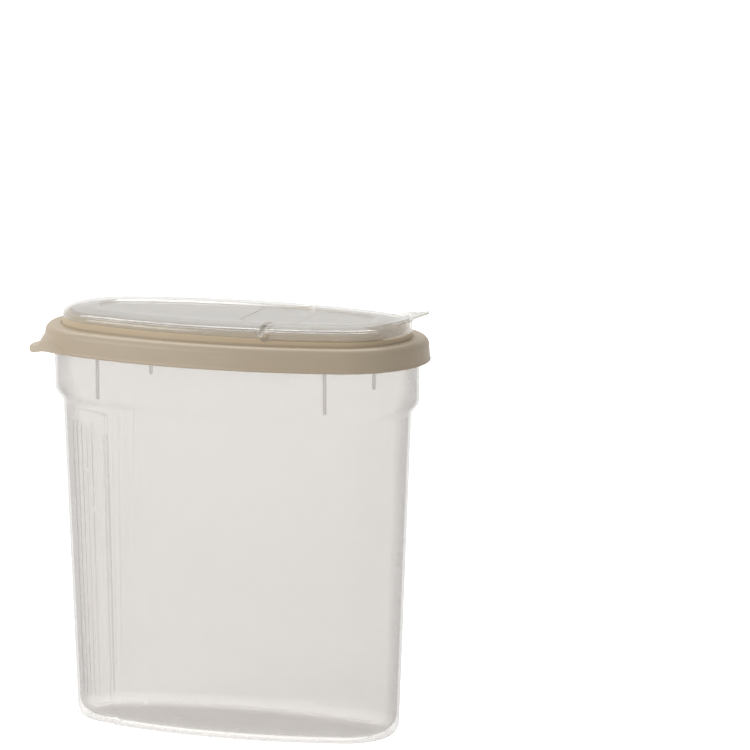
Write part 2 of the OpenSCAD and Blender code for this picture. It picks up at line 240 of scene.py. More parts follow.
def rounded(corners: Sequence[Corner], closed: bool = False, step: float = 12.0) -> list[Point]:
    """Rounds the corners of a line.

    Args:
        corners: the corners in order, each with its radius.
        closed: whether the line runs on from its last corner to its first.
        step: most degrees that one chord of a rounding turns.
    Returns:
        The points of the rounded line.
    """
    out: list[Point] = []
    count = len(corners)
    for i, corner in enumerate(corners):
        here = Vector(corner[:2])
        back = Vector(corners[i - 1][:2]) - here
        on = Vector(corners[(i + 1) % count][:2]) - here
        sharp = corner.r <= 0 or (not closed and i in (0, count - 1))
        turn = 0.0 if sharp else math.pi - back.angle(on)
        if turn < STRAIGHT:
            out.append((corner.u, corner.v))
            continue
        reach = min(corner.r * math.tan(turn / 2), back.length * 0.499, on.length * 0.499)
        radius = reach / math.tan(turn / 2)
        middle = here + (back.normalized() + on.normalized()).normalized() * radius / math.cos(turn / 2)
        first = here + back.normalized() * reach - middle
        last = here + on.normalized() * reach - middle
        sign = 1 if first.x * last.y - first.y * last.x > 0 else -1
        chords = max(2, math.ceil(math.degrees(turn) / step))
        base = math.atan2(first.y, first.x)
        for k in range(chords + 1):
            a = base + sign * turn * k / chords
            out.append((middle.x + radius * math.cos(a), middle.y + radius * math.sin(a)))
    return out


def with_rows(points: Sequence[Point], rows: Sequence[float]) -> list[Point]:
    """Adds a point to a profile wherever it crosses one of some heights.

    Args:
        points: the profile.
        rows: the heights.
    Returns:
        The profile with its new points.
    """
    out = [points[0]]
    for a, b in zip(points, points[1:]):
        cuts = [z for z in rows if min(a[1], b[1]) + 0.05 < z < max(a[1], b[1]) - 0.05]
        for z in sorted(cuts, reverse=b[1] < a[1]):
            t = (z - a[1]) / (b[1] - a[1])
            out.append((a[0] + (b[0] - a[0]) * t, z))
        out.append(b)
    return out


def smoothstep(t: float) -> float:
    """Smooth ramp from 0 to 1."""
    t = min(1.0, max(0.0, t))
    return t * t * (3 - 2 * t)


# ---- meshes ----


def wrap_up(bm: bmesh.types.BMesh, name: str) -> bpy.types.Object:
    """Cleans a mesh, turns its faces outward and puts it in the scene.

    Args:
        bm: the mesh, which is freed.
        name: name of the new object.
    Returns:
        The object.
    """
    bmesh.ops.remove_doubles(bm, verts=bm.verts, dist=2e-6)
    bmesh.ops.dissolve_degenerate(bm, edges=bm.edges, dist=1e-7)
    bmesh.ops.recalc_face_normals(bm, faces=bm.faces)
    mesh = bpy.data.meshes.new(name)
    bm.to_mesh(mesh)
    bm.free()
    piece = bpy.data.objects.new(name, mesh)
    bpy.context.scene.collection.objects.link(piece)
    return piece


@contextmanager
def editing(piece: bpy.types.Object) -> Iterator[bmesh.types.BMesh]:
    """Opens a piece's mesh and writes it back at the end.

    Args:
        piece: the piece to edit.
    Yields:
        The mesh to work on.
    """
    bm = bmesh.new()
    bm.from_mesh(piece.data)
    yield bm
    bm.to_mesh(piece.data)
    bm.free()


def soften(piece: bpy.types.Object) -> None:
    """Shades a piece smooth, but for its sharp edges.

    Args:
        piece: the piece to shade.
    """
    with editing(piece) as bm:
        bmesh.ops.recalc_face_normals(bm, faces=bm.faces)
        for face in bm.faces:
            face.smooth = True
        for edge in bm.edges:
            edge.smooth = len(edge.link_faces) == 2 and edge.calc_face_angle(0.0) < SHARP


def chain(
    bm: bmesh.types.BMesh, places: Sequence[Triple], closed: bool
) -> tuple[list[bmesh.types.BMVert], list[bmesh.types.BMEdge]]:
    """A line of edges.

    Args:
        bm: mesh that takes the line.
        places: where its vertices are.
        closed: whether its last vertex is joined to its first.
    Returns:
        The vertices and the edges.
    """
    verts = [bm.verts.new([c * MM for c in place]) for place in places]
    ends = verts[1:] + verts[:1] if closed else verts[1:]
    return verts, [bm.edges.new(pair) for pair in zip(verts, ends)]


def edges_of(geom: Sequence[bmesh.types.BMElem]) -> list[bmesh.types.BMEdge]:
    """The edges among some parts of a mesh."""
    return [g for g in geom if isinstance(g, bmesh.types.BMEdge)]


def sweep(
    bm: bmesh.types.BMesh, profile: Sequence[Point], arcs: Sequence[Arc], closed: bool = True
) -> None:
    """Spins a profile of offset and height round arcs.

    Args:
        bm: mesh that takes the faces.
        profile: points of offset from the arcs' radius and height.
        arcs: arcs to follow in order; where they aren't a whole round, the ends are capped.
        closed: whether the profile is a closed loop. If it isn't, its ends are filled over.
    """
    cx, cy = arcs[0].centre
    a = math.radians(arcs[0].start)
    reach = [(arcs[0].radius + o, z) for o, z in profile]
    verts, edges = chain(bm, [(cx + r * math.cos(a), cy + r * math.sin(a), z) for r, z in reach], closed)
    geom = verts + edges
    for arc in arcs:
        geom = bmesh.ops.spin(
            bm, geom=geom, cent=(arc.centre[0] * MM, arc.centre[1] * MM, 0), axis=(0, 0, 1),
            dvec=(0, 0, 0), angle=math.radians(arc.end - arc.start), steps=arc.steps, use_merge=False,
        )["geom_last"]
    if abs(sum(arc.end - arc.start for arc in arcs) - 360) > 1:
        for loop in (edges, edges_of(geom)):
            bmesh.ops.contextual_create(bm, geom=loop)
        return
    bmesh.ops.remove_doubles(bm, verts=bm.verts, dist=3e-6)
    if not closed:
        bmesh.ops.holes_fill(bm, edges=[e for e in bm.edges if e.is_boundary], sides=0)


def swept(
    name: str, profile: Sequence[Point], arcs: Sequence[Arc], closed: bool = True
) -> bpy.types.Object:
    """An object made by a sweep.

    Args:
        name: name of the object.
        profile: points of offset from the arcs' radius and height.
        arcs: arcs to follow in order.
        closed: whether the profile is a closed loop.
    Returns:
        The object.
    """
    bm = bmesh.new()
    sweep(bm, profile, arcs, closed)
    return wrap_up(bm, name)


def extruded(name: str, corners: Sequence[Triple], move: Triple) -> bpy.types.Object:
    """A flat outline, drawn out along a vector.

    Args:
        name: name of the object.
        corners: places of the outline's corners.
        move: the vector.
    Returns:
        The object.
    """
    bm = bmesh.new()
    face = bm.faces.new([bm.verts.new([c * MM for c in corner]) for corner in corners])
    lifted = bmesh.ops.extrude_face_region(bm, geom=[face])["geom"]
    verts = [g for g in lifted if isinstance(g, bmesh.types.BMVert)]
    bmesh.ops.translate(bm, verts=verts, vec=[c * MM for c in move])
    return wrap_up(bm, name)


def prism(name: str, outline: Sequence[Point], z: Span = (CUT_LOW, CUT_HIGH)) -> bpy.types.Object:
    """A plan outline with upright sides, through the whole lid unless its heights are given."""
    return extruded(name, [(x, y, z[0]) for x, y in outline], (0, 0, z[1] - z[0]))


def box(name: str, x: Span, y: Span, z: Span = (CUT_LOW, CUT_HIGH)) -> bpy.types.Object:
    """A box between two places on each axis."""
    return prism(name, [(x[0], y[0]), (x[1], y[0]), (x[1], y[1]), (x[0], y[1])], z)


def cross_pin(
    name: str, x: float, z: float, profile: Sequence[Point], steps: int = 32
) -> bpy.types.Object:
    """A profile turned about a line along Y.

    Args:
        name: name of the object.
        x: place of the line along the length.
        z: height of the line.
        profile: points of y and radius, from axis to axis.
        steps: steps of the turn.
    Returns:
        The object.
    """
    bm = bmesh.new()
    verts, edges = chain(bm, [(x, y, z + r) for y, r in profile], closed=False)
    bmesh.ops.spin(
        bm, geom=verts + edges, cent=(x * MM, 0, z * MM), axis=(0, 1, 0), dvec=(0, 0, 0),
        angle=math.tau, steps=steps, use_merge=True,
    )
    return wrap_up(bm, name)


def mirrored(piece: bpy.types.Object) -> bpy.types.Object:
    """A copy of a piece on the other side of the lid.

    Args:
        piece: the piece, which stays.
    Returns:
        The copy.
    """
    bm = bmesh.new()
    bm.from_mesh(piece.data)
    bmesh.ops.transform(bm, matrix=Matrix.Scale(-1, 4, (0, 1, 0)), verts=bm.verts)
    return wrap_up(bm, piece.name + "_far")


def discard(piece: bpy.types.Object) -> None:
    """Takes a helper and its mesh out of the file.

    Args:
        piece: the helper.
    """
    mesh = piece.data
    bpy.data.objects.remove(piece)
    bpy.data.meshes.remove(mesh)


# Least share of its faces that a piece keeps through a boolean, and how often one is tried
KEPT_SHARE = 0.2
CUT_TRIES = 4


def carve(piece: bpy.types.Object, tool: bpy.types.Object, how: Cut) -> None:
    """Applies a boolean to a piece and discards the tool.

    The exact solver loses a whole piece once in a long while, so such a boolean is tried again.

    Args:
        piece: object that changes.
        tool: object it is cut with.
        how: what the boolean does.
    Raises:
        RuntimeError: the piece was lost at every try.
    """
    mod = piece.modifiers.new("carve", "BOOLEAN")
    mod.operation = how.value
    mod.object = tool
    mod.solver = "EXACT"
    for _ in range(CUT_TRIES):
        graph = bpy.context.evaluated_depsgraph_get()
        mesh = bpy.data.meshes.new_from_object(piece.evaluated_get(graph))
        if len(mesh.polygons) >= KEPT_SHARE * len(piece.data.polygons):
            break
        bpy.data.meshes.remove(mesh)
        piece.update_tag(refresh={"DATA"})
    else:
        raise RuntimeError(f"{piece.name} was lost in a boolean with {tool.name}")
    piece.modifiers.remove(mod)
    old = piece.data
    piece.data = mesh
    mesh.name = piece.name
    bpy.data.meshes.remove(old)
    discard(tool)


def both_sides(piece: bpy.types.Object, tool: bpy.types.Object, how: Cut) -> None:
    """Applies a boolean with a tool and with its mirror image."""
    carve(piece, mirrored(tool), how)
    carve(piece, tool, how)


def gather(piece: bpy.types.Object, others: Sequence[bpy.types.Object]) -> None:
    """Adds the meshes of other objects to a piece, as they lie.

    Args:
        piece: the piece that takes them.
        others: the objects, which are discarded.
    """
    with editing(piece) as bm:
        for other in others:
            bm.from_mesh(other.data)
            discard(other)


# ---- finishes ----


class Grain(NamedTuple):
    """A noise: cycles per metre, detail, and how it is stretched along each axis."""

    scale: float
    detail: float = 2.0
    stretch: Triple = (1, 1, 1)


class Graph:
    """Small helper that builds the node tree of a material or of the world."""

    # The part of a noise's range in which most of its values lie
    MIDDLE: ClassVar[Span] = (0.3, 0.7)

    def __init__(self, owner: bpy.types.Material | bpy.types.World) -> None:
        """Empties a node tree.

        Args:
            owner: the material or the world that has the tree.
        """
        owner.use_nodes = True
        self.owner = owner
        self.tree = owner.node_tree
        self.tree.nodes.clear()

    def add(self, kind: str, **settings: object) -> bpy.types.Node:
        """Adds a node.

        Args:
            kind: type of the node.
            settings: its properties by name, or its sockets with _ for a space.
        Returns:
            The node.
        """
        node = self.tree.nodes.new(kind)
        for key, value in settings.items():
            if hasattr(node, key):
                setattr(node, key, value)
            else:
                node.inputs[key.replace("_", " ")].default_value = value
        return node

    def feed(self, value: bpy.types.NodeSocket | float | Triple, into: bpy.types.NodeSocket) -> None:
        """Gives a socket another node's output, a number or a colour.

        Args:
            value: what it gets.
            into: the socket.
        """
        if isinstance(value, bpy.types.NodeSocket):
            self.tree.links.new(value, into)
        elif isinstance(value, tuple):
            into.default_value = (*value, 1)
        else:
            into.default_value = value

    def place(self, stretch: Triple = (1, 1, 1)) -> bpy.types.NodeSocket:
        """Object coordinates, stretched.

        Args:
            stretch: factor along each axis.
        Returns:
            The socket with the place.
        """
        mapping = self.add("ShaderNodeMapping", Scale=stretch)
        self.feed(self.add("ShaderNodeTexCoord").outputs["Object"], mapping.inputs["Vector"])
        return mapping.outputs["Vector"]

    def height(self) -> bpy.types.NodeSocket:
        """Height above the base.

        Returns:
            The socket with the height in metres.
        """
        split = self.add("ShaderNodeSeparateXYZ")
        self.feed(self.place(), split.inputs[0])
        return split.outputs["Z"]

    def noise(self, grain: Grain) -> bpy.types.NodeSocket:
        """Noise over the piece.

        Args:
            grain: how it looks.
        Returns:
            The socket with its value.
        """
        node = self.add("ShaderNodeTexNoise", Scale=grain.scale, Detail=grain.detail)
        self.feed(self.place(grain.stretch), node.inputs["Vector"])
        return node.outputs["Fac"]

    def ramp(
        self, value: bpy.types.NodeSocket, to: Span = (0.0, 1.0), of: Span = (0.0, 1.0)
    ) -> bpy.types.NodeSocket:
        """Maps a range of a value to another range.

        Args:
            value: the value.
            to: what the two ends of its range become.
            of: the two ends of its range.
        Returns:
            The socket with the result.
        """
        node = self.add("ShaderNodeMapRange")
        for key, number in zip(("From Min", "From Max", "To Min", "To Max"), (*of, *to)):
            node.inputs[key].default_value = number
        self.feed(value, node.inputs["Value"])
        return node.outputs["Result"]

    def maths(
        self, operation: str, first: bpy.types.NodeSocket, second: bpy.types.NodeSocket | float
    ) -> bpy.types.NodeSocket:
        """Works out a value from two others.

        Args:
            operation: what is worked out.
            first: the first value.
            second: the second value.
        Returns:
            The socket with the result.
        """
        node = self.add("ShaderNodeMath", operation=operation)
        self.feed(first, node.inputs[0])
        self.feed(second, node.inputs[1])
        return node.outputs[0]

    def tint(
        self, value: bpy.types.NodeSocket, low: bpy.types.NodeSocket | Triple, high: Triple
    ) -> bpy.types.NodeSocket:
        """Mixes two colours.

        Args:
            value: share of the second colour.
            low: the first colour.
            high: the second colour.
        Returns:
            The socket with the colour.
        """
        node = self.add("ShaderNodeMix", data_type="RGBA")
        self.feed(value, node.inputs[0])
        self.feed(low, node.inputs[6])
        self.feed(high, node.inputs[7])
        return node.outputs[2]

    def bump(self, height: bpy.types.NodeSocket, distance: float, strength: float) -> bpy.types.Node:
        """Bump from a height.

        Args:
            height: the height, from 0 to 1.
            distance: depth of the bump in metres.
            strength: how much of it is seen.
        Returns:
            The node, whose Normal may be fed with another bump.
        """
        node = self.add("ShaderNodeBump", Strength=strength, Distance=distance)
        self.feed(height, node.inputs["Height"])
        return node

    def blend(
        self, share: bpy.types.NodeSocket | float, first: bpy.types.Node, second: bpy.types.Node
    ) -> bpy.types.Node:
        """Mixes two shaders.

        Args:
            share: share of the second shader.
            first: the first shader.
            second: the second shader.
        Returns:
            The mixed shader.
        """
        node = self.add("ShaderNodeMixShader")
        self.feed(share, node.inputs[0])
        self.feed(first.outputs[0], node.inputs[1])
        self.feed(second.outputs[0], node.inputs[2])
        return node

    def finish(self, shader: bpy.types.Node) -> None:
        """Puts a shader on the owner's output."""
        kind = "World" if isinstance(self.owner, bpy.types.World) else "Material"
        self.feed(shader.outputs[0], self.add("ShaderNodeOutput" + kind).inputs["Surface"])


@dataclass(frozen=True)
class ClearPlastic:
    """A moulded see-through plastic: part of the light goes straight on, part scatters, part shines.

    Attributes:
        name: material name.
        milk: colour of the scattered light.
        glass: colour of the light that goes through.
        edge_glass: colour of the light that goes through where the surface is seen edge on.
        edge_from: how far from square on the light that goes through starts to change, from 0 to 1.
        haze: share scattered where the surface is seen square on.
        edge_haze: share scattered where it is seen edge on.
        roughness: roughness of the shine.
        shine: share that shines where the surface is seen edge on.
        flow: depth of the slow waves that moulding leaves, in metres.
        painted_light_glass: colour of the light that goes through in a painted part of the piece: painted
            light that makes the container's base lighter, and painted shade that makes the flip lid's thumb
            tab darker.
        painted_light_milk: the same as milk, in that painted part.
        painted_light_z: heights at which the change to that painted part starts and is complete, in metres.
    """

    name: str
    milk: Triple
    glass: Triple
    edge_glass: Triple
    edge_from: float
    haze: float
    edge_haze: float
    roughness: float
    shine: float
    flow: float
    painted_light_glass: Triple
    painted_light_milk: Triple
    painted_light_z: Span

    WAVES: ClassVar[Grain] = Grain(26, 1.5, (1, 1, 0.35))
    CLOUD: ClassVar[Grain] = Grain(9, 2.0, (1, 1, 0.5))
    PATCHES: ClassVar[Grain] = Grain(300)

    # Least and most roughness of the patches, as shares of the roughness
    PATCH_RANGE: ClassVar[Span] = (0.9, 1.15)

    # Share of the scattered light that comes out at the back
    THROUGH: ClassVar[float] = 0.5

    # How far from square on the haze starts to grow, from 0 to 1
    HAZE_FROM: ClassVar[float] = 0.35

    # Shade of the darker clouds, the least share of the shine, and the steepness of its rise
    DARKER: ClassVar[float] = 0.965
    LEAST: ClassVar[float] = 0.04
    STEEP: ClassVar[float] = 5.0

    def build(self) -> bpy.types.Material:
        """Makes the material.

        Returns:
            The material.
        """
        material = bpy.data.materials.new(self.name)
        g = Graph(material)
        normal = g.bump(g.noise(self.WAVES), self.flow, 1.0).outputs["Normal"]
        facing = g.add("ShaderNodeLayerWeight", Blend=0.5).outputs["Facing"]
        # Painted light and shade by height: the share of the painted part, which lightens the container's
        # base and darkens the thumb tab.
        other = g.ramp(g.height(), of=self.painted_light_z)
        dark = tuple(c * self.DARKER for c in self.milk)
        cloud = g.tint(g.ramp(g.noise(self.CLOUD), of=g.MIDDLE), dark, self.milk)
        colour = g.tint(other, cloud, self.painted_light_milk)
        glass = g.tint(other, self.glass, self.painted_light_glass)
        clear = g.add("ShaderNodeBsdfTransparent")
        edge_on = g.ramp(facing, of=(self.edge_from, 1.0))
        g.feed(g.tint(edge_on, glass, self.edge_glass), clear.inputs["Color"])
        front = g.add("ShaderNodeBsdfDiffuse")
        back = g.add("ShaderNodeBsdfTranslucent")
        for shader in (front, back):
            g.feed(colour, shader.inputs["Color"])
            g.feed(normal, shader.inputs["Normal"])
        body = g.blend(self.THROUGH, front, back)
        haze = g.ramp(facing, to=(self.haze, self.edge_haze), of=(self.HAZE_FROM, 1.0))
        milky = g.blend(haze, clear, body)
        gloss = g.add("ShaderNodeBsdfGlossy", Color=(1, 1, 1, 1))
        rough = tuple(self.roughness * share for share in self.PATCH_RANGE)
        g.feed(g.ramp(g.noise(self.PATCHES), rough, g.MIDDLE), gloss.inputs["Roughness"])
        g.feed(normal, gloss.inputs["Normal"])
        steep = g.maths("POWER", facing, self.STEEP)
        g.finish(g.blend(g.ramp(steep, to=(self.LEAST * self.shine, self.shine)), milky, gloss))
        return material


@dataclass(frozen=True)
class SatinPlastic:
    """A soft opaque plastic with a satin face.

    Attributes:
        name: material name.
        colour: colour of the plastic.
        worn: colour of its paler patches.
        collar: a lighter, yellower colour painted on its collar and lip, a painted glow that stands in for
            light coming through them and bouncing onto them.
        collar_z: heights at which the change to that painted glow starts and is complete, in metres.
        roughness: mean roughness.
    """

    name: str
    colour: Triple
    worn: Triple
    collar: Triple
    collar_z: Span
    roughness: float

    CLOUD: ClassVar[Grain] = Grain(14, 3.0, (1, 1, 2.5))
    CLOUD_RANGE: ClassVar[Span] = (0.35, 0.68)
    GRAIN: ClassVar[Grain] = Grain(2200)
    WAVES: ClassVar[Grain] = Grain(35, 1.0)

    # How far the roughness goes below and above its mean
    ROUGH_LESS: ClassVar[float] = 0.05
    ROUGH_MORE: ClassVar[float] = 0.07

    # Depth of the waves and of the grain, in metres, each with how much of it is seen
    WAVE_DEPTH: ClassVar[Span] = (0.0003, 0.5)
    GRAIN_DEPTH: ClassVar[Span] = (0.00005, 0.35)

    def build(self) -> bpy.types.Material:
        """Makes the material.

        Returns:
            The material.
        """
        material = bpy.data.materials.new(self.name)
        g = Graph(material)
        shader = g.add("ShaderNodeBsdfPrincipled", IOR=1.45)
        cloud = g.tint(g.ramp(g.noise(self.CLOUD), of=self.CLOUD_RANGE), self.colour, self.worn)
        # Painted glow: above 193.7 mm the collar and lip get a lighter, yellower colour that stands in for
        # light coming through them.
        painted_glow = g.ramp(g.height(), of=self.collar_z)
        g.feed(g.tint(painted_glow, cloud, self.collar), shader.inputs["Base Color"])
        grain = g.noise(self.GRAIN)
        rough = (self.roughness - self.ROUGH_LESS, self.roughness + self.ROUGH_MORE)
        g.feed(g.ramp(grain, rough, g.MIDDLE), shader.inputs["Roughness"])
        fine = g.bump(grain, *self.GRAIN_DEPTH)
        g.feed(g.bump(g.noise(self.WAVES), *self.WAVE_DEPTH).outputs["Normal"], fine.inputs["Normal"])
        g.feed(fine.outputs["Normal"], shader.inputs["Normal"])
        g.finish(shader)
        return material


# Painted light: below 7 mm the container's base gets a much lighter milk and glass, standing in for light
# that the floor's shade takes away.
BODY_FINISH = ClearPlastic(
    name="natural_polypropylene", milk=(0.655, 0.637, 0.624), glass=(0.938, 0.929, 0.92),
    edge_glass=(0.785, 0.773, 0.762), edge_from=0.72, haze=0.19, edge_haze=0.46, roughness=0.24,
    shine=0.75, flow=0.0005, painted_light_glass=(0.988, 0.982, 0.974), painted_light_milk=(0.97, 0.952, 0.93),
    painted_light_z=(0.007, 0.0035),
)
# Painted shade: above 203.5 mm the flip lid's thumb tab gets a much darker milk and glass, so that it stands
# out against the white surroundings.
COVER_FINISH = ClearPlastic(
    name="clear_polypropylene", milk=(0.84, 0.82, 0.785), glass=(0.966, 0.959, 0.944),
    edge_glass=(0.83, 0.82, 0.795), edge_from=0.7, haze=0.21, edge_haze=0.41, roughness=0.12,
    shine=0.95, flow=0.00008, painted_light_glass=(0.82, 0.805, 0.77), painted_light_milk=(0.46, 0.445, 0.41),
    painted_light_z=(0.2015, 0.2035),
)
# The ring's collar colour is a painted glow on its collar and lip, standing in for light that comes through
# them.
RING_FINISH = SatinPlastic(
    name="beige_polyethylene", colour=(0.455, 0.373, 0.27), worn=(0.485, 0.402, 0.293),
    collar=(0.565, 0.458, 0.312), collar_z=(0.1928, 0.1937), roughness=0.42,
)


# ---- pieces ----


class Piece:
    """A finished piece that stands for a solid of the frame."""

    node: ClassVar[str]
    body: ClassVar[str]
    slot: ClassVar[str]

    def shape(self) -> bpy.types.Object:
        """Makes the mesh."""
        raise NotImplementedError

    def build(self, material: bpy.types.Material) -> None:
        """Makes the piece, gives it its finish and hangs it on the frame.

        Args:
            material: finish of the piece.
        """
        piece = self.shape()
        soften(piece)
        piece.data.materials.clear()
        piece.data.materials.append(material)
        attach(piece, self.body)
        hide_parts(self.node)
        LOG.info("%s: %d faces", piece.name, len(piece.data.polygons))


@dataclass(frozen=True)
class ContainerBody(Piece):
    """The container: drafted oval wall, stepped rim band, grips with ridges and nesting ribs."""

    node = "container"
    body = "container"
    slot = "body"

    # Wall, floor and foot, and how far the wall leans in from the step down to the base
    wall: float = 1.2
    floor_z: float = 2.2
    foot_r: float = 11.0
    draft: float = 6.0

    # Underside: offset past which its middle is filled over, rise of the middle, and how far inside the
    # foot's curve the rise is complete and the flat ring ends
    o_middle: float = -32.5
    push_up: float = 1.0
    push_in: float = 3.2
    stand_in: float = 1.4

    # Rim, band and step
    rim_z: float = 191.0
    step_z: float = rim_z - 35.0
    step_h: float = 5.4
    o_band: float = -4.9
    o_body: float = o_band - 3.85

    # Bead round the rim: how far it stands out, its height, half its width and the length of its slopes
    bead: float = 1.2
    bead_z: float = rim_z - 3.0
    bead_half: float = 0.8
    bead_slope: float = 0.9

    # Grips: front edge, depth and width of that edge, height of the roof, and its top below the step
    grip_x: float = OVAL.tip + o_body - 32.0
    grip_d: float = 3.0
    grip_edge: float = 1.5
    grip_roof: float = 5.0
    grip_top: float = 0.7

    # Grip ridges: number, angles from the rear, half their width, height, and the fades at their ends
    ridges: int = 5
    ridge_a: float = 57.0
    ridge_step: float = 6.0
    ridge_w: float = 0.8
    ridge_h: float = 1.2
    ridge_foot: float = 5.0
    ridge_top: float = 2.0

    # Nesting ribs: place along the length, depth, thickness, height and how far their tops slope
    rib_x: float = OVAL.tip + o_band - 33.0
    rib_d: float = 2.0
    rib_t: float = 1.2
    rib_h: float = 20.0
    rib_slope: float = 1.2

    @property
    def core(self) -> Point:
        """The round core that the grips are pressed down to.

        Returns:
            The distance of its axis from the middle, towards the rear, and its radius.
        """
        half = OVAL.half_at(self.grip_x, self.o_body) - self.grip_d
        tip = OVAL.tip + self.o_body + 0.3
        x = (tip**2 - self.grip_x**2 - half**2) / (2 * (tip - self.grip_x))
        return x, tip - x

    def wall_o(self, z: float) -> float:
        """Offset of the drafted wall's outside at a height."""
        return self.o_body - self.draft * (self.step_z - z) / self.step_z

    def profile(self) -> list[Point]:
        """Section of the container, from the underside's middle out, up, over the rim and back in.

        Returns:
            The points of the section, with rows for the feet of the ridges and the roof of the grips.
        """
        foot = self.wall_o(0)
        band, inside = self.o_band, self.o_band - self.wall
        step_top = self.step_z + self.step_h
        flat, slope = self.bead_half, self.bead_half + self.bead_slope
        corners = [
            Corner(self.o_middle, self.push_up),
            Corner(foot - self.foot_r - self.push_in, self.push_up, 1.2),
            Corner(foot - self.foot_r - self.stand_in, 0, 1.6),
            Corner(foot, 0, self.foot_r),
            Corner(self.o_body, self.step_z, 4.5),
            Corner(band, step_top, 4.5),
            Corner(band, self.bead_z - slope, 0.8),
            Corner(band + self.bead, self.bead_z - flat, 0.9),
            Corner(band + self.bead, self.bead_z + flat, 0.9),
            Corner(band, self.bead_z + slope, 0.4),
            Corner(band, self.rim_z, 0.5),
            Corner(inside, self.rim_z, 0.5),
            Corner(inside, step_top + 0.4, 4),
            Corner(self.o_body - self.wall, self.step_z + 0.5, 4),
            Corner(foot - self.wall, self.floor_z, self.foot_r - self.wall),
            Corner(self.o_middle, self.floor_z),
        ]
        feet = [self.foot_r + 1 + 1.5 * i for i in range(5)]
        roof = [self.step_z - 13 + 0.75 * i for i in range(18)]
        return with_rows(rounded(corners, step=9), feet + roof)

    def ridge(self, x: float, y: float, z: float) -> float:
        """Height of the grip ridges at a place on the recess.

        Args:
            x: place along the length.
            y: place across the width.
            z: height.
        Returns:
            The height of the ridge there, or 0 between ridges.
        """
        core_x, core_r = self.core
        angle = math.degrees(math.atan2(abs(y), -(x + core_x)))
        best = 0.0
        for i in range(self.ridges):
            gap = abs(angle - self.ridge_a - self.ridge_step * i) * math.radians(1) * core_r
            if gap < self.ridge_w:
                best = self.ridge_h * math.cos(math.pi * gap / (2 * self.ridge_w))
        low = smoothstep((z - self.foot_r) / self.ridge_foot)
        high = smoothstep((self.step_z - self.grip_roof - 1.2 - z) / self.ridge_top)
        return best * low * high

    def press_grip(self, bm: bmesh.types.BMesh) -> None:
        """Presses the two grips into the rear end and raises their ridges.

        Args:
            bm: mesh of the container.
        """
        core_x, core_r = self.core
        centre = Vector((-core_x, 0))
        roof_z = self.step_z - self.grip_top
        for vert in bm.verts:
            x, y, z = (c / MM for c in vert.co)
            if x > self.wall - self.grip_x or z > roof_z + 1:
                continue
            o = OVAL.offset_of(x, y)
            outer = o > self.wall_o(z) - self.wall / 2 or z < self.floor_z - 0.3
            edge = -self.grip_x if outer else self.wall - self.grip_x
            fade = smoothstep((edge - x) / self.grip_edge)
            ray = Vector((x, y)) - centre
            reach, core = ray.length, core_r + o - self.o_body
            if reach > core:
                full = o - OVAL.offset_of(*(centre + ray * (core / reach)))
                roof = (roof_z - (0 if outer else self.wall / 2) - z) * math.tan(math.radians(30))
                reach += (core - reach) * smoothstep(roof / max(0.05, full)) * fade
            if outer and z > self.foot_r:
                reach += self.ridge(x, y, z) * fade
            place = centre + ray * (reach / ray.length)
            vert.co = Vector((place.x, place.y, z)) * MM

    def ribs(self) -> list[bpy.types.Object]:
        """Four short upright ribs inside the rim band, on which a nested container would rest.

        Returns:
            The ribs.
        """
        made = []
        half, round_r, sunk_y, sunk_z = self.rib_t / 2, 0.45, 0.25, 0.3
        y1 = OVAL.half_at(self.rib_x, self.o_band - self.wall) + sunk_y
        z0 = self.step_z + self.step_h - sunk_z
        outline = rounded(
            [Corner(-half, 0), Corner(-half, -self.rib_d, round_r), Corner(half, -self.rib_d, round_r),
             Corner(half, 0)], step=20,
        )
        for sx, sy in ((-1, -1), (-1, 1), (1, -1), (1, 1)):
            plan = [(sx * self.rib_x + u, sy * (y1 + v)) for u, v in outline]
            rib = prism(f"rib_{sx}_{sy}", plan, (z0, z0 + self.rib_h))
            with editing(rib) as bm:
                for vert in bm.verts:
                    inner = abs(vert.co.y) / MM < y1 - self.rib_d + 0.5
                    if inner and vert.co.z / MM > z0 + 1:
                        vert.co.z -= self.rib_slope * MM
            made.append(rib)
        return made

    def shape(self) -> bpy.types.Object:
        """Makes the container.

        Returns:
            Its object.
        """
        bm = bmesh.new()
        sweep(bm, self.profile(), BODY_ARCS, closed=False)
        self.press_grip(bm)
        piece = wrap_up(bm, "container_body")
        gather(piece, self.ribs())
        return piece


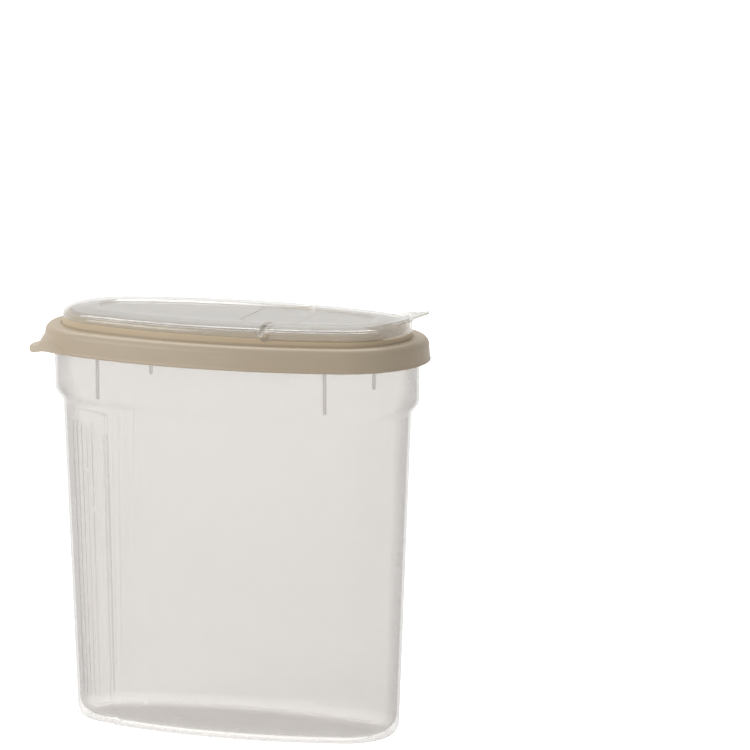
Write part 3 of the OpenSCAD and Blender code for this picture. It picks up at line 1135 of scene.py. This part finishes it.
@dataclass(frozen=True)
class LidSize:
    """Sizes that the lid ring and the two covers share."""

    # Shelf on the rim, wall of the ring, and the gap round whatever moves
    shelf_z: float = 192.6
    wall: float = 1.6
    gap: float = 0.3

    # Heights of the collar, the lip inside it and the notch's sill
    collar_z: float = shelf_z + 3.3
    lip_z: float = shelf_z + 5.3
    sill_z: float = shelf_z + 2.2

    # Covers: foot of the flip lid, where their edge rolls over, its crest, and the rise and the width of
    # the crowned border, the depth of the dish inside it, and their wall
    foot_z: float = shelf_z + 2.7
    roll_z: float = shelf_z + 4.5
    crest_z: float = shelf_z + 7.8
    crown: float = 0.7
    crown_w: float = 5.4
    dish: float = 0.9
    cover_t: float = 1.2

    # Offsets of the lip's outside, of both covers, and of the crest and the border of each
    o_lip: float = -10.45
    o_cover: float = -8.85
    o_flip: float = -8.6
    o_crest: float = -14.45
    o_border: float = -24.85

    # Hinge: place, radius of a pin and of the lug on it, and the gap beside the lug
    hinge_x: float = OVAL.tip - 66.6
    hinge_z: float = shelf_z + 4.3
    pin_r: float = 1.0
    lug_r: float = 2.3
    side_gap: float = 0.15

    # Tongue of the flip lid: rear edge, half its width there and at the hinge, radius of its corners, the
    # slit round it, and the flip lid's rear edge beside it
    seam_x: float = hinge_x - 20.1
    tongue_w: float = 16.0
    tongue_root: float = 22.5
    tongue_r: float = 4.0
    slit: float = 0.7
    plate_x: float = hinge_x - 0.3

    # End wall of the fixed cover's arms, and the flip lid's cross wall
    arm_x: float = hinge_x - 4.5
    plug_x: float = hinge_x + 5.6

    @property
    def o_lip_in(self) -> float:
        """Offset of the lip's inside."""
        return self.o_lip - self.wall

    @property
    def arm_skin_x(self) -> float:
        """Where the skin of the fixed cover's arms stops behind the lugs."""
        return self.hinge_x - self.lug_r - self.gap

    @property
    def wall_y(self) -> float:
        """Where the collar's wall stops beside a lug."""
        return OVAL.half_at(self.arm_skin_x, self.o_lip) + 0.05

    @property
    def boss_y(self) -> float:
        """Where the lip's inside lies at the hinge."""
        return OVAL.half_at(self.hinge_x, self.o_lip_in)

    def edge_rise(self, y: float) -> float:
        """Height of the flip lid's top over its pins.

        Args:
            y: place across the lid, beside a pin.
        Returns:
            The height over the pins.
        """
        depth = self.o_flip - OVAL.offset_of(self.hinge_x, y)
        span = self.o_flip - self.o_crest
        if depth < span:
            rise = math.sin(math.acos(1 - max(0.0, depth) / span))
            return self.roll_z + (self.crest_z - self.roll_z) * rise - self.hinge_z
        return self.crest_z + self.crown * min(1.0, (depth - span) / self.crown_w) - self.hinge_z


@dataclass(frozen=True)
class LidRing(Piece):
    """The press-on ring: skirt with its bead, shelf, collar, locating lip, hinge pins and pull tab."""

    node = "lid_ring"
    body = "lid"
    slot = "ring"

    size: LidSize = LidSize()

    # Skirt: foot, lean, hem round the foot, radius of its top edge and offset of the bead inside it
    skirt_z: float = size.shelf_z - 11.1
    skirt_lean: float = 0.7
    hem: float = 0.3
    shoulder_r: float = 4.4
    snap_o: float = -3.3

    # Shelf, plug, and the groove round the collar's foot
    shelf_t: float = 1.5
    plug_h: float = 4.0
    plug_t: float = 1.2
    o_plug: float = -6.5
    collar_in: float = 8.6
    groove_w: float = 0.55
    groove_d: float = 0.35
    notch_w: float = 32.0

    # Gap in the lip behind a pin: length, width, height, and how far it goes below and inside the pin
    swing_l: float = 4.3
    swing_w: float = 16.0
    swing_h: float = 8.0
    swing_low: float = 0.8
    swing_in: float = 2.7

    # Pull tab: reach, thickness, drop to its tip, steps of its section, and the angles and steps of its turn
    pull_l: float = 9.9
    pull_t: float = 3.1
    pull_drop: float = 5.2
    pull_rows: int = 14
    pull_turn: tuple[float, float, int] = (110.0, 250.0, 112)

    # Its plan: a tip and a wing that hugs the skirt, each with its reach and its spread in degrees
    tip_reach: float = pull_l - 1.7
    tip_spread: float = 22.0
    wing_reach: float = 2.3
    wing_spread: float = 60.0
    wing_in: float = 0.6

    # Degrees from the rear at which its sides have faded, degrees they fade over, and its fillet's size
    fade_to: float = 69.0
    fade_over: float = 24.0
    fillet_h: float = 2.4
    fillet_l: float = 3.2

    def profile(self) -> list[Point]:
        """Closed section of the ring.

        Returns:
            The points of the section.
        """
        s = self.size
        inside, o_collar = -s.wall, -self.collar_in
        under, groove_z = s.shelf_z - self.shelf_t, s.shelf_z - self.groove_d
        plug_in, plug_z = self.o_plug - self.plug_t, under - self.plug_h
        corners = [
            Corner(inside, self.skirt_z, 0.3),
            Corner(self.hem, self.skirt_z, 0.4),
            Corner(self.hem, self.skirt_z + 0.8, 0.5),
            Corner(-0.03, self.skirt_z + 1.5, 0.6),
            Corner(-self.skirt_lean, s.shelf_z, self.shoulder_r),
            Corner(o_collar + self.groove_w + 0.2, s.shelf_z, 0.25),
            Corner(o_collar + self.groove_w, groove_z, 0.15),
            Corner(o_collar, groove_z, 0.15),
            Corner(o_collar - 0.25, s.collar_z, 0.35),
            Corner(s.o_lip, s.collar_z, 0.2),
            Corner(s.o_lip, s.lip_z, 0.4),
            Corner(s.o_lip_in, s.lip_z, 0.4),
            Corner(s.o_lip_in, s.foot_z - s.wall, 0.5),
            Corner(s.o_lip, s.foot_z - s.wall, 0.3),
            Corner(s.o_lip, under, 0.3),
            Corner(plug_in, under, 0.3),
            Corner(plug_in, plug_z, 0.5),
            Corner(self.o_plug, plug_z, 0.5),
            Corner(self.o_plug, under, 0.3),
            Corner(inside - self.skirt_lean / 2, under, 2.9),
            Corner(inside, self.skirt_z + 5.6, 0.5),
            Corner(self.snap_o, self.skirt_z + 4, 0.5),
            Corner(inside, self.skirt_z + 2.4, 0.4),
        ]
        return rounded(corners, closed=True, step=14)

    def recess(self) -> bpy.types.Object:
        """Room for the flip lid's side wall, in front of the hinge.

        Returns:
            The tool.
        """
        s = self.size
        low, high = s.foot_z - s.gap, s.collar_z + 0.02
        inner = s.o_flip - s.cover_t - 0.4
        outer = inner + 4
        section = [(inner, low), (outer, low), (outer, high), (inner, high)]
        return swept("recess", section, OVAL.front_arcs(s.hinge_x, inner, 72, 16))

    def pocket(self) -> bpy.types.Object:
        """Round pocket in the collar for a lug.

        Returns:
            The tool.
        """
        s = self.size
        y0, y1, r = s.wall_y, s.wall_y + 8, s.lug_r + 0.25
        return cross_pin("pocket", s.hinge_x, s.hinge_z, [(y0, 0), (y0, r), (y1, r), (y1, 0)], 48)

    def swing_room(self) -> bpy.types.Object:
        """Gap in the lip behind a pin, in which the flip lid's rear edge turns.

        Returns:
            The tool.
        """
        s = self.size
        y0, z0 = s.boss_y - self.swing_in, s.hinge_z - self.swing_low
        x = (s.hinge_x - self.swing_l, s.hinge_x)
        return box("swing_room", x, (y0, y0 + self.swing_w), (z0, z0 + self.swing_h))

    def notch(self) -> bpy.types.Object:
        """Pour notch through the collar's front.

        Returns:
            The tool.
        """
        s = self.size
        half, high = self.notch_w / 2, s.lip_z + 1
        line = rounded(
            [Corner(-half - 1, high), Corner(-half, s.sill_z, 1), Corner(half, s.sill_z, 1),
             Corner(half + 1, high)], step=20,
        )
        return extruded("notch", [(OVAL.end_x, y, z) for y, z in line], (OVAL.end_r, 0, 0))

    def pin(self) -> bpy.types.Object:
        """Hinge pin on its boss.

        Returns:
            The pin.
        """
        s = self.size
        r, boss = s.pin_r, s.pin_r + 0.3
        y0, y1, y2 = s.boss_y + 0.3, s.wall_y, OVAL.half_at(s.hinge_x, s.o_flip) - 0.3
        line = [(y0, 0), (y0, boss), (y1, boss), (y1, r), (y2 - 0.2, r), (y2, r - 0.2), (y2, 0)]
        return cross_pin("pin", s.hinge_x, s.hinge_z, line)

    def pull_spread(self, side: float) -> float:
        """How far the pull tab reaches out of the skirt.

        Args:
            side: angle from the rear, in degrees.
        Returns:
            The reach.
        """
        tip = self.tip_reach * math.exp(-((side / self.tip_spread) ** 2))
        wing = self.wing_reach * math.exp(-((side / self.wing_spread) ** 2))
        return tip + wing - self.wing_in

    def pull_tab(self) -> bpy.types.Object:
        """Tongue that flares down and out of the skirt's lower edge and fades into it at its sides.

        Returns:
            The tongue.
        """
        s, t = self.size, self.pull_t
        root, tip = OVAL.end_r - s.wall / 2, OVAL.end_r + self.pull_l
        low = [(root + (tip - root) * i / self.pull_rows, 0.0) for i in range(self.pull_rows)]
        corners = [Corner(tip - 2, 0), Corner(tip, 0, t * 0.3), Corner(tip, t, t * 0.65), Corner(tip - 2, t)]
        nose = rounded(corners, step=18)[1:-1]
        section = low + nose + [(r, t) for r, _ in reversed(low)]
        tongue = swept("pull_tab", section, [Arc((-OVAL.end_x, 0), 0.0, *self.pull_turn)])
        with editing(tongue) as bm:
            for vert in bm.verts:
                x, y, rise = vert.co.x / MM + OVAL.end_x, vert.co.y / MM, vert.co.z / MM
                r, side = math.hypot(x, y), math.degrees(math.atan2(y, -x))
                here = root + (r - root) * (self.pull_spread(side) + s.wall / 2) / (tip - root)
                under = self.skirt_z - self.pull_drop * (1 - (max(0.0, tip - here) / self.pull_l) ** 2)
                near = smoothstep((self.fade_to - abs(side)) / self.fade_over)
                slope = max(0.0, 1 - max(0.0, here - OVAL.end_r) / self.fillet_l)
                fillet = self.fillet_h * slope * near * rise / t
                rise *= 0.3 + 0.7 * near
                k = here / r
                vert.co = Vector((x * k - OVAL.end_x, y * k, under + rise + fillet)) * MM
        return tongue

    def shape(self) -> bpy.types.Object:
        """Makes the ring.

        Returns:
            Its object.
        """
        piece = swept("ring_body", self.profile(), LID_ARCS)
        carve(piece, self.recess(), Cut.REMOVE)
        both_sides(piece, self.pocket(), Cut.REMOVE)
        both_sides(piece, self.swing_room(), Cut.REMOVE)
        carve(piece, self.notch(), Cut.REMOVE)
        carve(piece, self.pull_tab(), Cut.ADD)
        both_sides(piece, self.pin(), Cut.ADD)
        return piece


@dataclass(frozen=True)
class Cover(Piece):
    """What the two clear covers share: a rolled edge, a crowned border and a shallow dish."""

    size: LidSize = LidSize()

    # Steps of the rolled edge, chamfer of the foot and thickness of the ribs underneath
    roll_steps: int = 14
    foot_c: float = 0.25
    rib_t: float = 1.1

    # Offset at which the blocks that fill the oval under a cover stop
    o_fill: float = -30.0

    def roll(self, o: float, inset: float = 0.0) -> list[Point]:
        """Quarter round of the rolled edge, from the top of its upright side to the crest.

        Args:
            o: offset of the upright side.
            inset: how far the line lies inside the cover.
        Returns:
            The points of the quarter round.
        """
        s = self.size
        wide, high = o - s.o_crest - inset, s.crest_z - s.roll_z - inset
        turns = [math.radians(90 * i / self.roll_steps) for i in range(self.roll_steps + 1)]
        return [(o - inset - wide * (1 - math.cos(a)), s.roll_z + high * math.sin(a)) for a in turns]

    def edge(self, o: float, z: float) -> list[Point]:
        """Outside of the rolled edge, from its foot up to the crest."""
        return [(o, z)] + self.roll(o)

    def fill(self, o: float, z: float) -> bpy.types.Object:
        """Block that fills the rim of the oval under the rolled edge, from a height up."""
        line = [(self.o_fill, z)] + self.edge(o, z) + [(self.o_fill, self.size.crest_z)]
        return swept("fill", line, LID_ARCS, closed=False)

    def shell(self, name: str, o: float, z: float) -> bpy.types.Object:
        """Thin lid with its rolled edge, filled over in the middle.

        Args:
            name: name of the object.
            o: offset of its upright side.
            z: height of its foot.
        Returns:
            The lid, a whole oval.
        """
        s = self.size
        top, t, c = s.crest_z + s.crown, s.cover_t, self.foot_c
        border = [
            Corner(s.o_crest, s.crest_z),
            Corner(s.o_border + 5, top - 0.04, 14),
            Corner(s.o_border, top, 2.5),
            Corner(s.o_border - 2.4, top - s.dish, 2.5),
            Corner(s.o_border - 4.5, top - s.dish),
        ]
        over = rounded(border, step=2)
        under = [(p, q - t) for p, q in reversed(over)] + self.roll(o, t)[-2::-1]
        foot = [(o - t, z + c), (o - t + c, z), (o - c, z)]
        return swept(name, under + foot + self.edge(o, z + c) + over[1:], LID_ARCS, closed=False)

    def tongue(self, grow: float) -> list[Point]:
        """Plan of the flip lid's tongue behind the hinge.

        Args:
            grow: gap by which it is grown.
        Returns:
            The points of the plan.
        """
        s = self.size
        lean = (s.tongue_root - s.tongue_w) / (s.hinge_x - s.seam_x)
        x0, x1 = s.seam_x - grow, s.hinge_x + 0.6
        w0 = s.tongue_w + grow * (math.hypot(1, lean) - lean)
        w1 = w0 + lean * (x1 - x0)
        r = s.tongue_r + grow
        return rounded([Corner(x1, w1), Corner(x0, w0, r), Corner(x0, -w0, r), Corner(x1, -w1)], step=6)

    def inner_rib(self, name: str, o: float, low: float, arcs: Sequence[Arc]) -> bpy.types.Object:
        """Upright rib under a cover, just inside the ring's lip.

        Args:
            name: name of the object.
            o: offset of its outside.
            low: height of its foot.
            arcs: arcs that it follows.
        Returns:
            The rib.
        """
        high = self.size.crest_z - self.size.cover_t / 2
        return swept(name, [(o - self.rib_t, low), (o, low), (o, high), (o - self.rib_t, high)], arcs)


@dataclass(frozen=True)
class FixedCover(Cover):
    """The rear cover, whose two arms reach forward beside the flip lid's tongue."""

    node = "fixed_cover"
    body = "lid"
    slot = "cover"

    # Heights of the ledges in the arms and of the foot of the web behind them, below the shelf
    ledge_low: float = 1.2
    ledge_t: float = 1.0
    web_low: float = 0.8

    def turning_room(self) -> bpy.types.Object:
        """Room in an arm for the flip lid's rear edge and lug: round the pins, and upright above them.

        Returns:
            The tool.
        """
        s = self.size
        low, high = s.tongue_root - 1, OVAL.half_w
        line = []
        for i in range(33):
            y = low + (high - low) * i / 32
            line.append((y, max(s.edge_rise(y), s.lug_r) + s.gap))
        room = cross_pin("turning_room", s.hinge_x, s.hinge_z, [(low, 0.0)] + line + [(high, 0.0)], 72)
        plan = [(s.hinge_x - r, y) for y, r in line] + [(s.hinge_x + 5, high), (s.hinge_x + 5, low)]
        carve(room, prism("standing_room", plan, (s.hinge_z, CUT_HIGH)), Cut.ADD)
        return room

    def arm(self, sign: int) -> list[bpy.types.Object]:
        """End wall, ledge and web of an arm.

        Args:
            sign: side of the lid, -1 or 1.
        Returns:
            The three walls.
        """
        s = self.size
        x, x_ledge = (s.arm_x - s.cover_t, s.arm_x), (s.arm_x - s.cover_t, s.plug_x - 0.5)
        y0 = sign * (s.tongue_root + s.slit + 0.3)
        y1 = sign * (OVAL.half_at(s.plug_x, s.o_lip_in - 1.5) - 0.4)
        ledge_z, web_z = s.shelf_z - self.ledge_low, s.shelf_z - self.web_low
        wall = box("arm_wall", x, (y0, sign * OVAL.half_w), (s.lip_z + 0.1, s.crest_z + 4))
        carve(wall, self.fill(s.o_cover, s.collar_z), Cut.KEEP)
        ledge = box("ledge", x_ledge, (y0, y1), (ledge_z, ledge_z + self.ledge_t))
        web = box("web", x, (y0, y1), (web_z, s.lip_z + 0.8))
        return [wall, ledge, web]

    def shape(self) -> bpy.types.Object:
        """Makes the fixed cover.

        Returns:
            Its object.
        """
        s = self.size
        half = OVAL.half_w
        piece = self.shell("cover_shell", s.o_cover, s.collar_z)
        carve(piece, self.inner_rib("rib", s.o_lip_in - 0.2, s.shelf_z + 2, RIB_ARCS), Cut.ADD)
        carve(piece, box("front", (s.arm_skin_x, CUT_OUT), (-half, half)), Cut.REMOVE)
        both_sides(piece, self.turning_room(), Cut.REMOVE)
        carve(piece, prism("tongue", self.tongue(s.slit)), Cut.REMOVE)
        for wall in self.arm(-1) + self.arm(1):
            carve(piece, wall, Cut.ADD)
        return piece


@dataclass(frozen=True)
class FlipLid(Cover):
    """The front cover, which swings up on the ring's pins: tongue, side wall, hood and thumb tab."""

    node = "flip_lid"
    body = "flip"
    slot = "flip"

    # Thumb tab: reach from the end arc's centre, length, radius of its tip, rise, thickness, and the powers
    # by which its top and its underside curve up
    reach: float = OVAL.end_r + 1.6
    length: float = 19.6
    tip_r: float = 8.0
    rise: float = 6.2
    tip_t: float = 1.3
    top_curve: float = 1.4
    under_curve: float = 1.3

    # Hood: half its width, radius of its plan's corners and of its nose wall, and the angles and steps of
    # its turn
    hood_w: float = 18.0
    hood_r: float = 5.0
    nose_r: float = OVAL.end_r + Cover.size.o_flip + 0.3
    hood_turn: tuple[float, float, int] = (-60.0, 60.0, 90)

    # Foot of the plug, radius at which the barrel starts, and where its round part ends
    plug_z: float = Cover.size.shelf_z + 2.6
    barrel_r: float = 1.8
    barrel_x: float = Cover.size.hinge_x + 0.4

    def top(self, r: float) -> float:
        """Height of the hood's top at a radius from the front end's centre."""
        u = max(0.0, (r - self.reach + self.length) / self.length)
        return self.size.crest_z + 0.1 + self.rise * u**self.top_curve

    def hood_plan(self, inset: float) -> list[Point]:
        """Plan of the hood and its tab.

        Args:
            inset: how far it is set in, for a wall.
        Returns:
            The points of the plan.
        """
        tip_x = OVAL.end_x + self.reach - self.tip_r
        x = OVAL.end_x + math.sqrt(self.nose_r**2 - self.hood_w**2) - 0.4 * inset
        w, r, bend = self.hood_w - inset, self.tip_r - inset, self.hood_r - inset
        a = math.atan2(w, x - tip_x) - math.acos(r / math.hypot(x - tip_x, w))
        apex = Corner(tip_x + r / math.cos(a), 0, r)
        near = [Corner(OVAL.end_x, -w), Corner(x, -w, bend)]
        far = [Corner(x, w, bend), Corner(OVAL.end_x, w)]
        return rounded([*near, apex, *far], step=6)

    def in_hood(self, name: str, section: Sequence[Point], inset: float) -> bpy.types.Object:
        """A turned shape within the hood's plan.

        Args:
            name: name of the object.
            section: its section, as radius from the front end's centre and height.
            inset: how far the plan is set in.
        Returns:
            The shape.
        """
        piece = swept(name, section, [Arc((OVAL.end_x, 0), 0.0, *self.hood_turn)])
        carve(piece, prism("hood_plan", self.hood_plan(inset)), Cut.KEEP)
        return piece

    def hood(self) -> bpy.types.Object:
        """Solid hood with the thumb tab that flares out of it.

        Returns:
            The hood.
        """
        s, nose = self.size, self.nose_r
        r0 = self.reach - self.length
        inner, c = nose - s.cover_t, 0.3
        radii = [r0 + self.length * i / 16 for i in range(17)]
        high = self.top(self.reach) - self.tip_t
        foot = self.top(nose) - self.tip_t - 1.2
        line = [(r0, s.crest_z - s.cover_t)] + [(r, self.top(r)) for r in radii]
        for u in (i / 12 for i in range(13)):
            line.append((self.reach - (self.reach - nose) * u, high - (high - foot) * u**self.under_curve))
        line += [(nose, s.foot_z + c), (nose - c, s.foot_z), (inner + c, s.foot_z), (inner, s.foot_z + c),
                 (inner, s.crest_z - s.cover_t)]
        return self.in_hood("hood", line, 0)

    def cavity(self) -> bpy.types.Object:
        """Room under the hood.

        Returns:
            The tool.
        """
        s = self.size
        r0, r1 = self.reach - self.length + 1, self.nose_r - s.cover_t
        line = [(r1, s.sill_z - 3), (r0, s.sill_z - 3), (r0, s.crest_z - s.cover_t)]
        for r in (r0 + (r1 - r0) * i / 8 for i in range(1, 9)):
            line.append((r, self.top(r) - s.cover_t))
        return self.in_hood("cavity", line, s.cover_t)

    def lug(self) -> bpy.types.Object:
        """Lug round a pin, trimmed to the rolled edge.

        Returns:
            The lug.
        """
        s = self.size
        y0, y1 = s.wall_y + s.side_gap, OVAL.half_at(s.hinge_x, s.o_flip) + 0.4
        last = 270 + math.degrees(math.acos((s.hinge_z - s.foot_z) / s.lug_r))
        x1 = s.hinge_x + s.lug_r + 1.5
        line = [(x1, s.foot_z), (x1, s.hinge_z + s.lug_r)]
        for a in (math.radians(90 + (last - 90) * i / 30) for i in range(31)):
            line.append((s.hinge_x + s.lug_r * math.cos(a), s.hinge_z + s.lug_r * math.sin(a)))
        lug = extruded("lug", [(x, y0, z) for x, z in line], (0, y1 - y0, 0))
        carve(lug, self.fill(s.o_flip, s.shelf_z), Cut.KEEP)
        return lug

    def barrel(self) -> bpy.types.Object:
        """Rounded rear edge beside the tongue, turned about the pins to the outline of the rolled edge.

        Returns:
            The edge.
        """
        s = self.size
        y0 = s.tongue_root - 0.3
        y1 = OVAL.half_at(self.barrel_x, s.o_lip_in) - s.gap
        ring = [(y0, self.barrel_r)]
        for y in (y0 + (y1 - y0) * i / 16 for i in range(17)):
            ring.append((y, s.edge_rise(y) - 0.02))
        ring += [(y1, self.barrel_r), (y0, self.barrel_r)]
        tube = cross_pin("barrel", s.hinge_x, s.hinge_z, ring, 72)
        upper = (s.hinge_z + 0.2, s.hinge_z + 6)
        carve(tube, box("quadrant", (s.hinge_x - 6, self.barrel_x), (10, 45), upper), Cut.KEEP)
        return tube

    def bore(self) -> bpy.types.Object:
        """Bore for a pin, with room round the pin's boss.

        Returns:
            The tool.
        """
        s = self.size
        y0, y1, y2 = s.boss_y - 0.1, s.wall_y + s.side_gap, s.wall_y + 6
        boss, bore = s.pin_r + 0.5, s.pin_r + 0.05
        line = [(y0, 0), (y0, boss), (y1, boss), (y1, bore), (y2, bore), (y2, 0)]
        return cross_pin("bore", s.hinge_x, s.hinge_z, line, 36)

    def plan(self) -> list[Point]:
        """Plan of the flip lid: its tongue, and all that lies in front of the hinge.

        Returns:
            The points of the plan.
        """
        s, half = self.size, OVAL.half_w
        x0, root = s.plate_x, s.tongue_root
        tongue = [p for p in self.tongue(0) if p[0] < x0 - 0.1]
        front = [(x0, -half), (CUT_OUT, -half), (CUT_OUT, half), (x0, half)]
        return [(x0, root), *tongue, (x0, -root), *front]

    def shape(self) -> bpy.types.Object:
        """Makes the flip lid.

        Returns:
            Its object.
        """
        s = self.size
        o_plug = s.o_lip_in - 0.4
        plug_arcs = OVAL.front_arcs(s.plate_x, o_plug, 72, 16)
        y = OVAL.half_at(s.plug_x, o_plug - 0.6)
        wall_z = (self.plug_z, s.crest_z - s.cover_t + 0.2)
        piece = self.shell("spout_shell", s.o_flip, s.foot_z)
        carve(piece, prism("flip_plan", self.plan()), Cut.KEEP)
        carve(piece, self.hood(), Cut.ADD)
        carve(piece, self.inner_rib("plug", o_plug, self.plug_z, plug_arcs), Cut.ADD)
        carve(piece, box("wall", (s.plug_x, s.plug_x + self.rib_t), (-y, y), wall_z), Cut.ADD)
        both_sides(piece, self.lug(), Cut.ADD)
        both_sides(piece, self.barrel(), Cut.ADD)
        carve(piece, self.cavity(), Cut.REMOVE)
        both_sides(piece, self.bore(), Cut.REMOVE)
        return piece


# ---- surroundings ----


def hang(data: bpy.types.ID, place: Triple, target: Triple) -> bpy.types.Object:
    """Puts a camera or a lamp in the scene, turned to a point.

    Args:
        data: the camera or lamp.
        place: where it hangs, in metres.
        target: the point.
    Returns:
        Its object.
    """
    item = bpy.data.objects.new(data.name, data)
    bpy.context.scene.collection.objects.link(item)
    item.location = place
    item.rotation_euler = (Vector(target) - Vector(place)).to_track_quat("-Z", "Y").to_euler()
    return item


@dataclass(frozen=True)
class Viewpoint:
    """The camera: where it stands and the point it looks at, in metres."""

    place: Triple = (1.0564, -2.7377, 0.7237)
    target: Triple = (0.0565, 0.0371, 0.1673)
    lens: float = 302.4

    def build(self) -> None:
        """Makes the camera and looks through it."""
        data = bpy.data.cameras.new("camera")
        data.sensor_width = 36
        data.lens = self.lens
        data.clip_end = 100
        bpy.context.scene.camera = hang(data, self.place, self.target)


@dataclass(frozen=True)
class SoftBox:
    """A lamp that points at the container.

    Attributes:
        name: lamp name.
        place: where it hangs, in metres.
        size: lengths of its two sides.
        watts: its power.
    """

    name: str
    place: Triple
    size: Span
    watts: float

    def build(self) -> None:
        """Makes the lamp."""
        data = bpy.data.lights.new(self.name, "AREA")
        data.shape = "RECTANGLE"
        data.size, data.size_y = self.size
        data.energy = self.watts
        hang(data, self.place, (0, 0, 0.12))


@dataclass(frozen=True)
class Studio:
    """Pale floor, white surroundings and soft lamps.

    Attributes:
        sky: strength of the surroundings as light.
        sky_shine: strength of the surroundings in a reflection.
        floor: grey of the floor.
        floor_half: half the floor's side, in metres.
        floor_shine: glow of the floor in a reflection.
        glow: glow of the floor near the container and far from it, where it is seen.
        glow_reach: distances at which those two hold, in metres.
        lamps: the lamps.
    """

    sky: float = 0.46
    sky_shine: float = 0.84
    floor: float = 0.68
    floor_half: float = 15.0
    floor_shine: float = 0.5
    glow: Span = (0.88, 1.0)
    glow_reach: Span = (0.35, 1.5)
    lamps: tuple[SoftBox, ...] = (
        SoftBox("key", (-2.3, -2.5, 1.6), (2.0, 2.0), 63),
        SoftBox("rim", (-0.75, 1.35, 2.15), (2.6, 0.45), 34),
        SoftBox("fill", (2.6, -0.8, 1.1), (1.6, 1.6), 3.5),
    )

    @staticmethod
    def seen(g: Graph, shine: float) -> bpy.types.NodeSocket:
        """1 where a surface is seen by the camera, shine where it is seen in a reflection, otherwise 0.

        Args:
            g: graph that gets the nodes.
            shine: level in a reflection.
        Returns:
            The socket with the level.
        """
        path = g.add("ShaderNodeLightPath")
        in_shine = g.maths("MULTIPLY", path.outputs["Is Glossy Ray"], shine)
        return g.maths("MAXIMUM", path.outputs["Is Camera Ray"], in_shine)

    def build_world(self) -> None:
        """White surroundings that light the container gently."""
        world = bpy.data.worlds.new("surroundings")
        bpy.context.scene.world = world
        g = Graph(world)
        background = g.add("ShaderNodeBackground", Color=(1, 1, 1, 1))
        shine = (self.sky_shine - self.sky) / (1 - self.sky)
        g.feed(g.ramp(self.seen(g, shine), to=(self.sky, 1.0)), background.inputs["Strength"])
        g.finish(background)

    def build_floor(self) -> None:
        """Wide pale floor, white where it is seen and still dark where the container shades it."""
        bm = bmesh.new()
        bmesh.ops.create_grid(bm, x_segments=8, y_segments=8, size=self.floor_half)
        floor = wrap_up(bm, "floor")
        material = bpy.data.materials.new("pale_floor")
        g = Graph(material)
        matte = g.add("ShaderNodeBsdfDiffuse", Color=(self.floor, self.floor, self.floor, 1))
        glow = g.add("ShaderNodeEmission")
        far = g.add("ShaderNodeVectorMath", operation="LENGTH")
        g.feed(g.place(), far.inputs[0])
        level = g.ramp(far.outputs["Value"], self.glow, self.glow_reach)
        g.feed(g.maths("MULTIPLY", level, self.seen(g, self.floor_shine)), glow.inputs["Strength"])
        both = g.add("ShaderNodeAddShader")
        g.feed(matte.outputs[0], both.inputs[0])
        g.feed(glow.outputs[0], both.inputs[1])
        g.finish(both)
        floor.data.materials.append(material)

    def build(self) -> None:
        """Makes the whole setting."""
        self.build_world()
        self.build_floor()
        for lamp in self.lamps:
            lamp.build()
        bpy.context.scene.cycles.transparent_max_bounces = 32
        bpy.context.scene.view_settings.view_transform = "Standard"


def main() -> None:
    """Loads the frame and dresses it."""
    logging.basicConfig(level=logging.INFO, format="%(name)s: %(message)s")
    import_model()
    Viewpoint().build()
    Studio().build()
    clear = COVER_FINISH.build()
    ContainerBody().build(BODY_FINISH.build())
    LidRing().build(RING_FINISH.build())
    FixedCover().build(clear)
    FlipLid().build(clear)


if __name__ == "__main__":
    main()
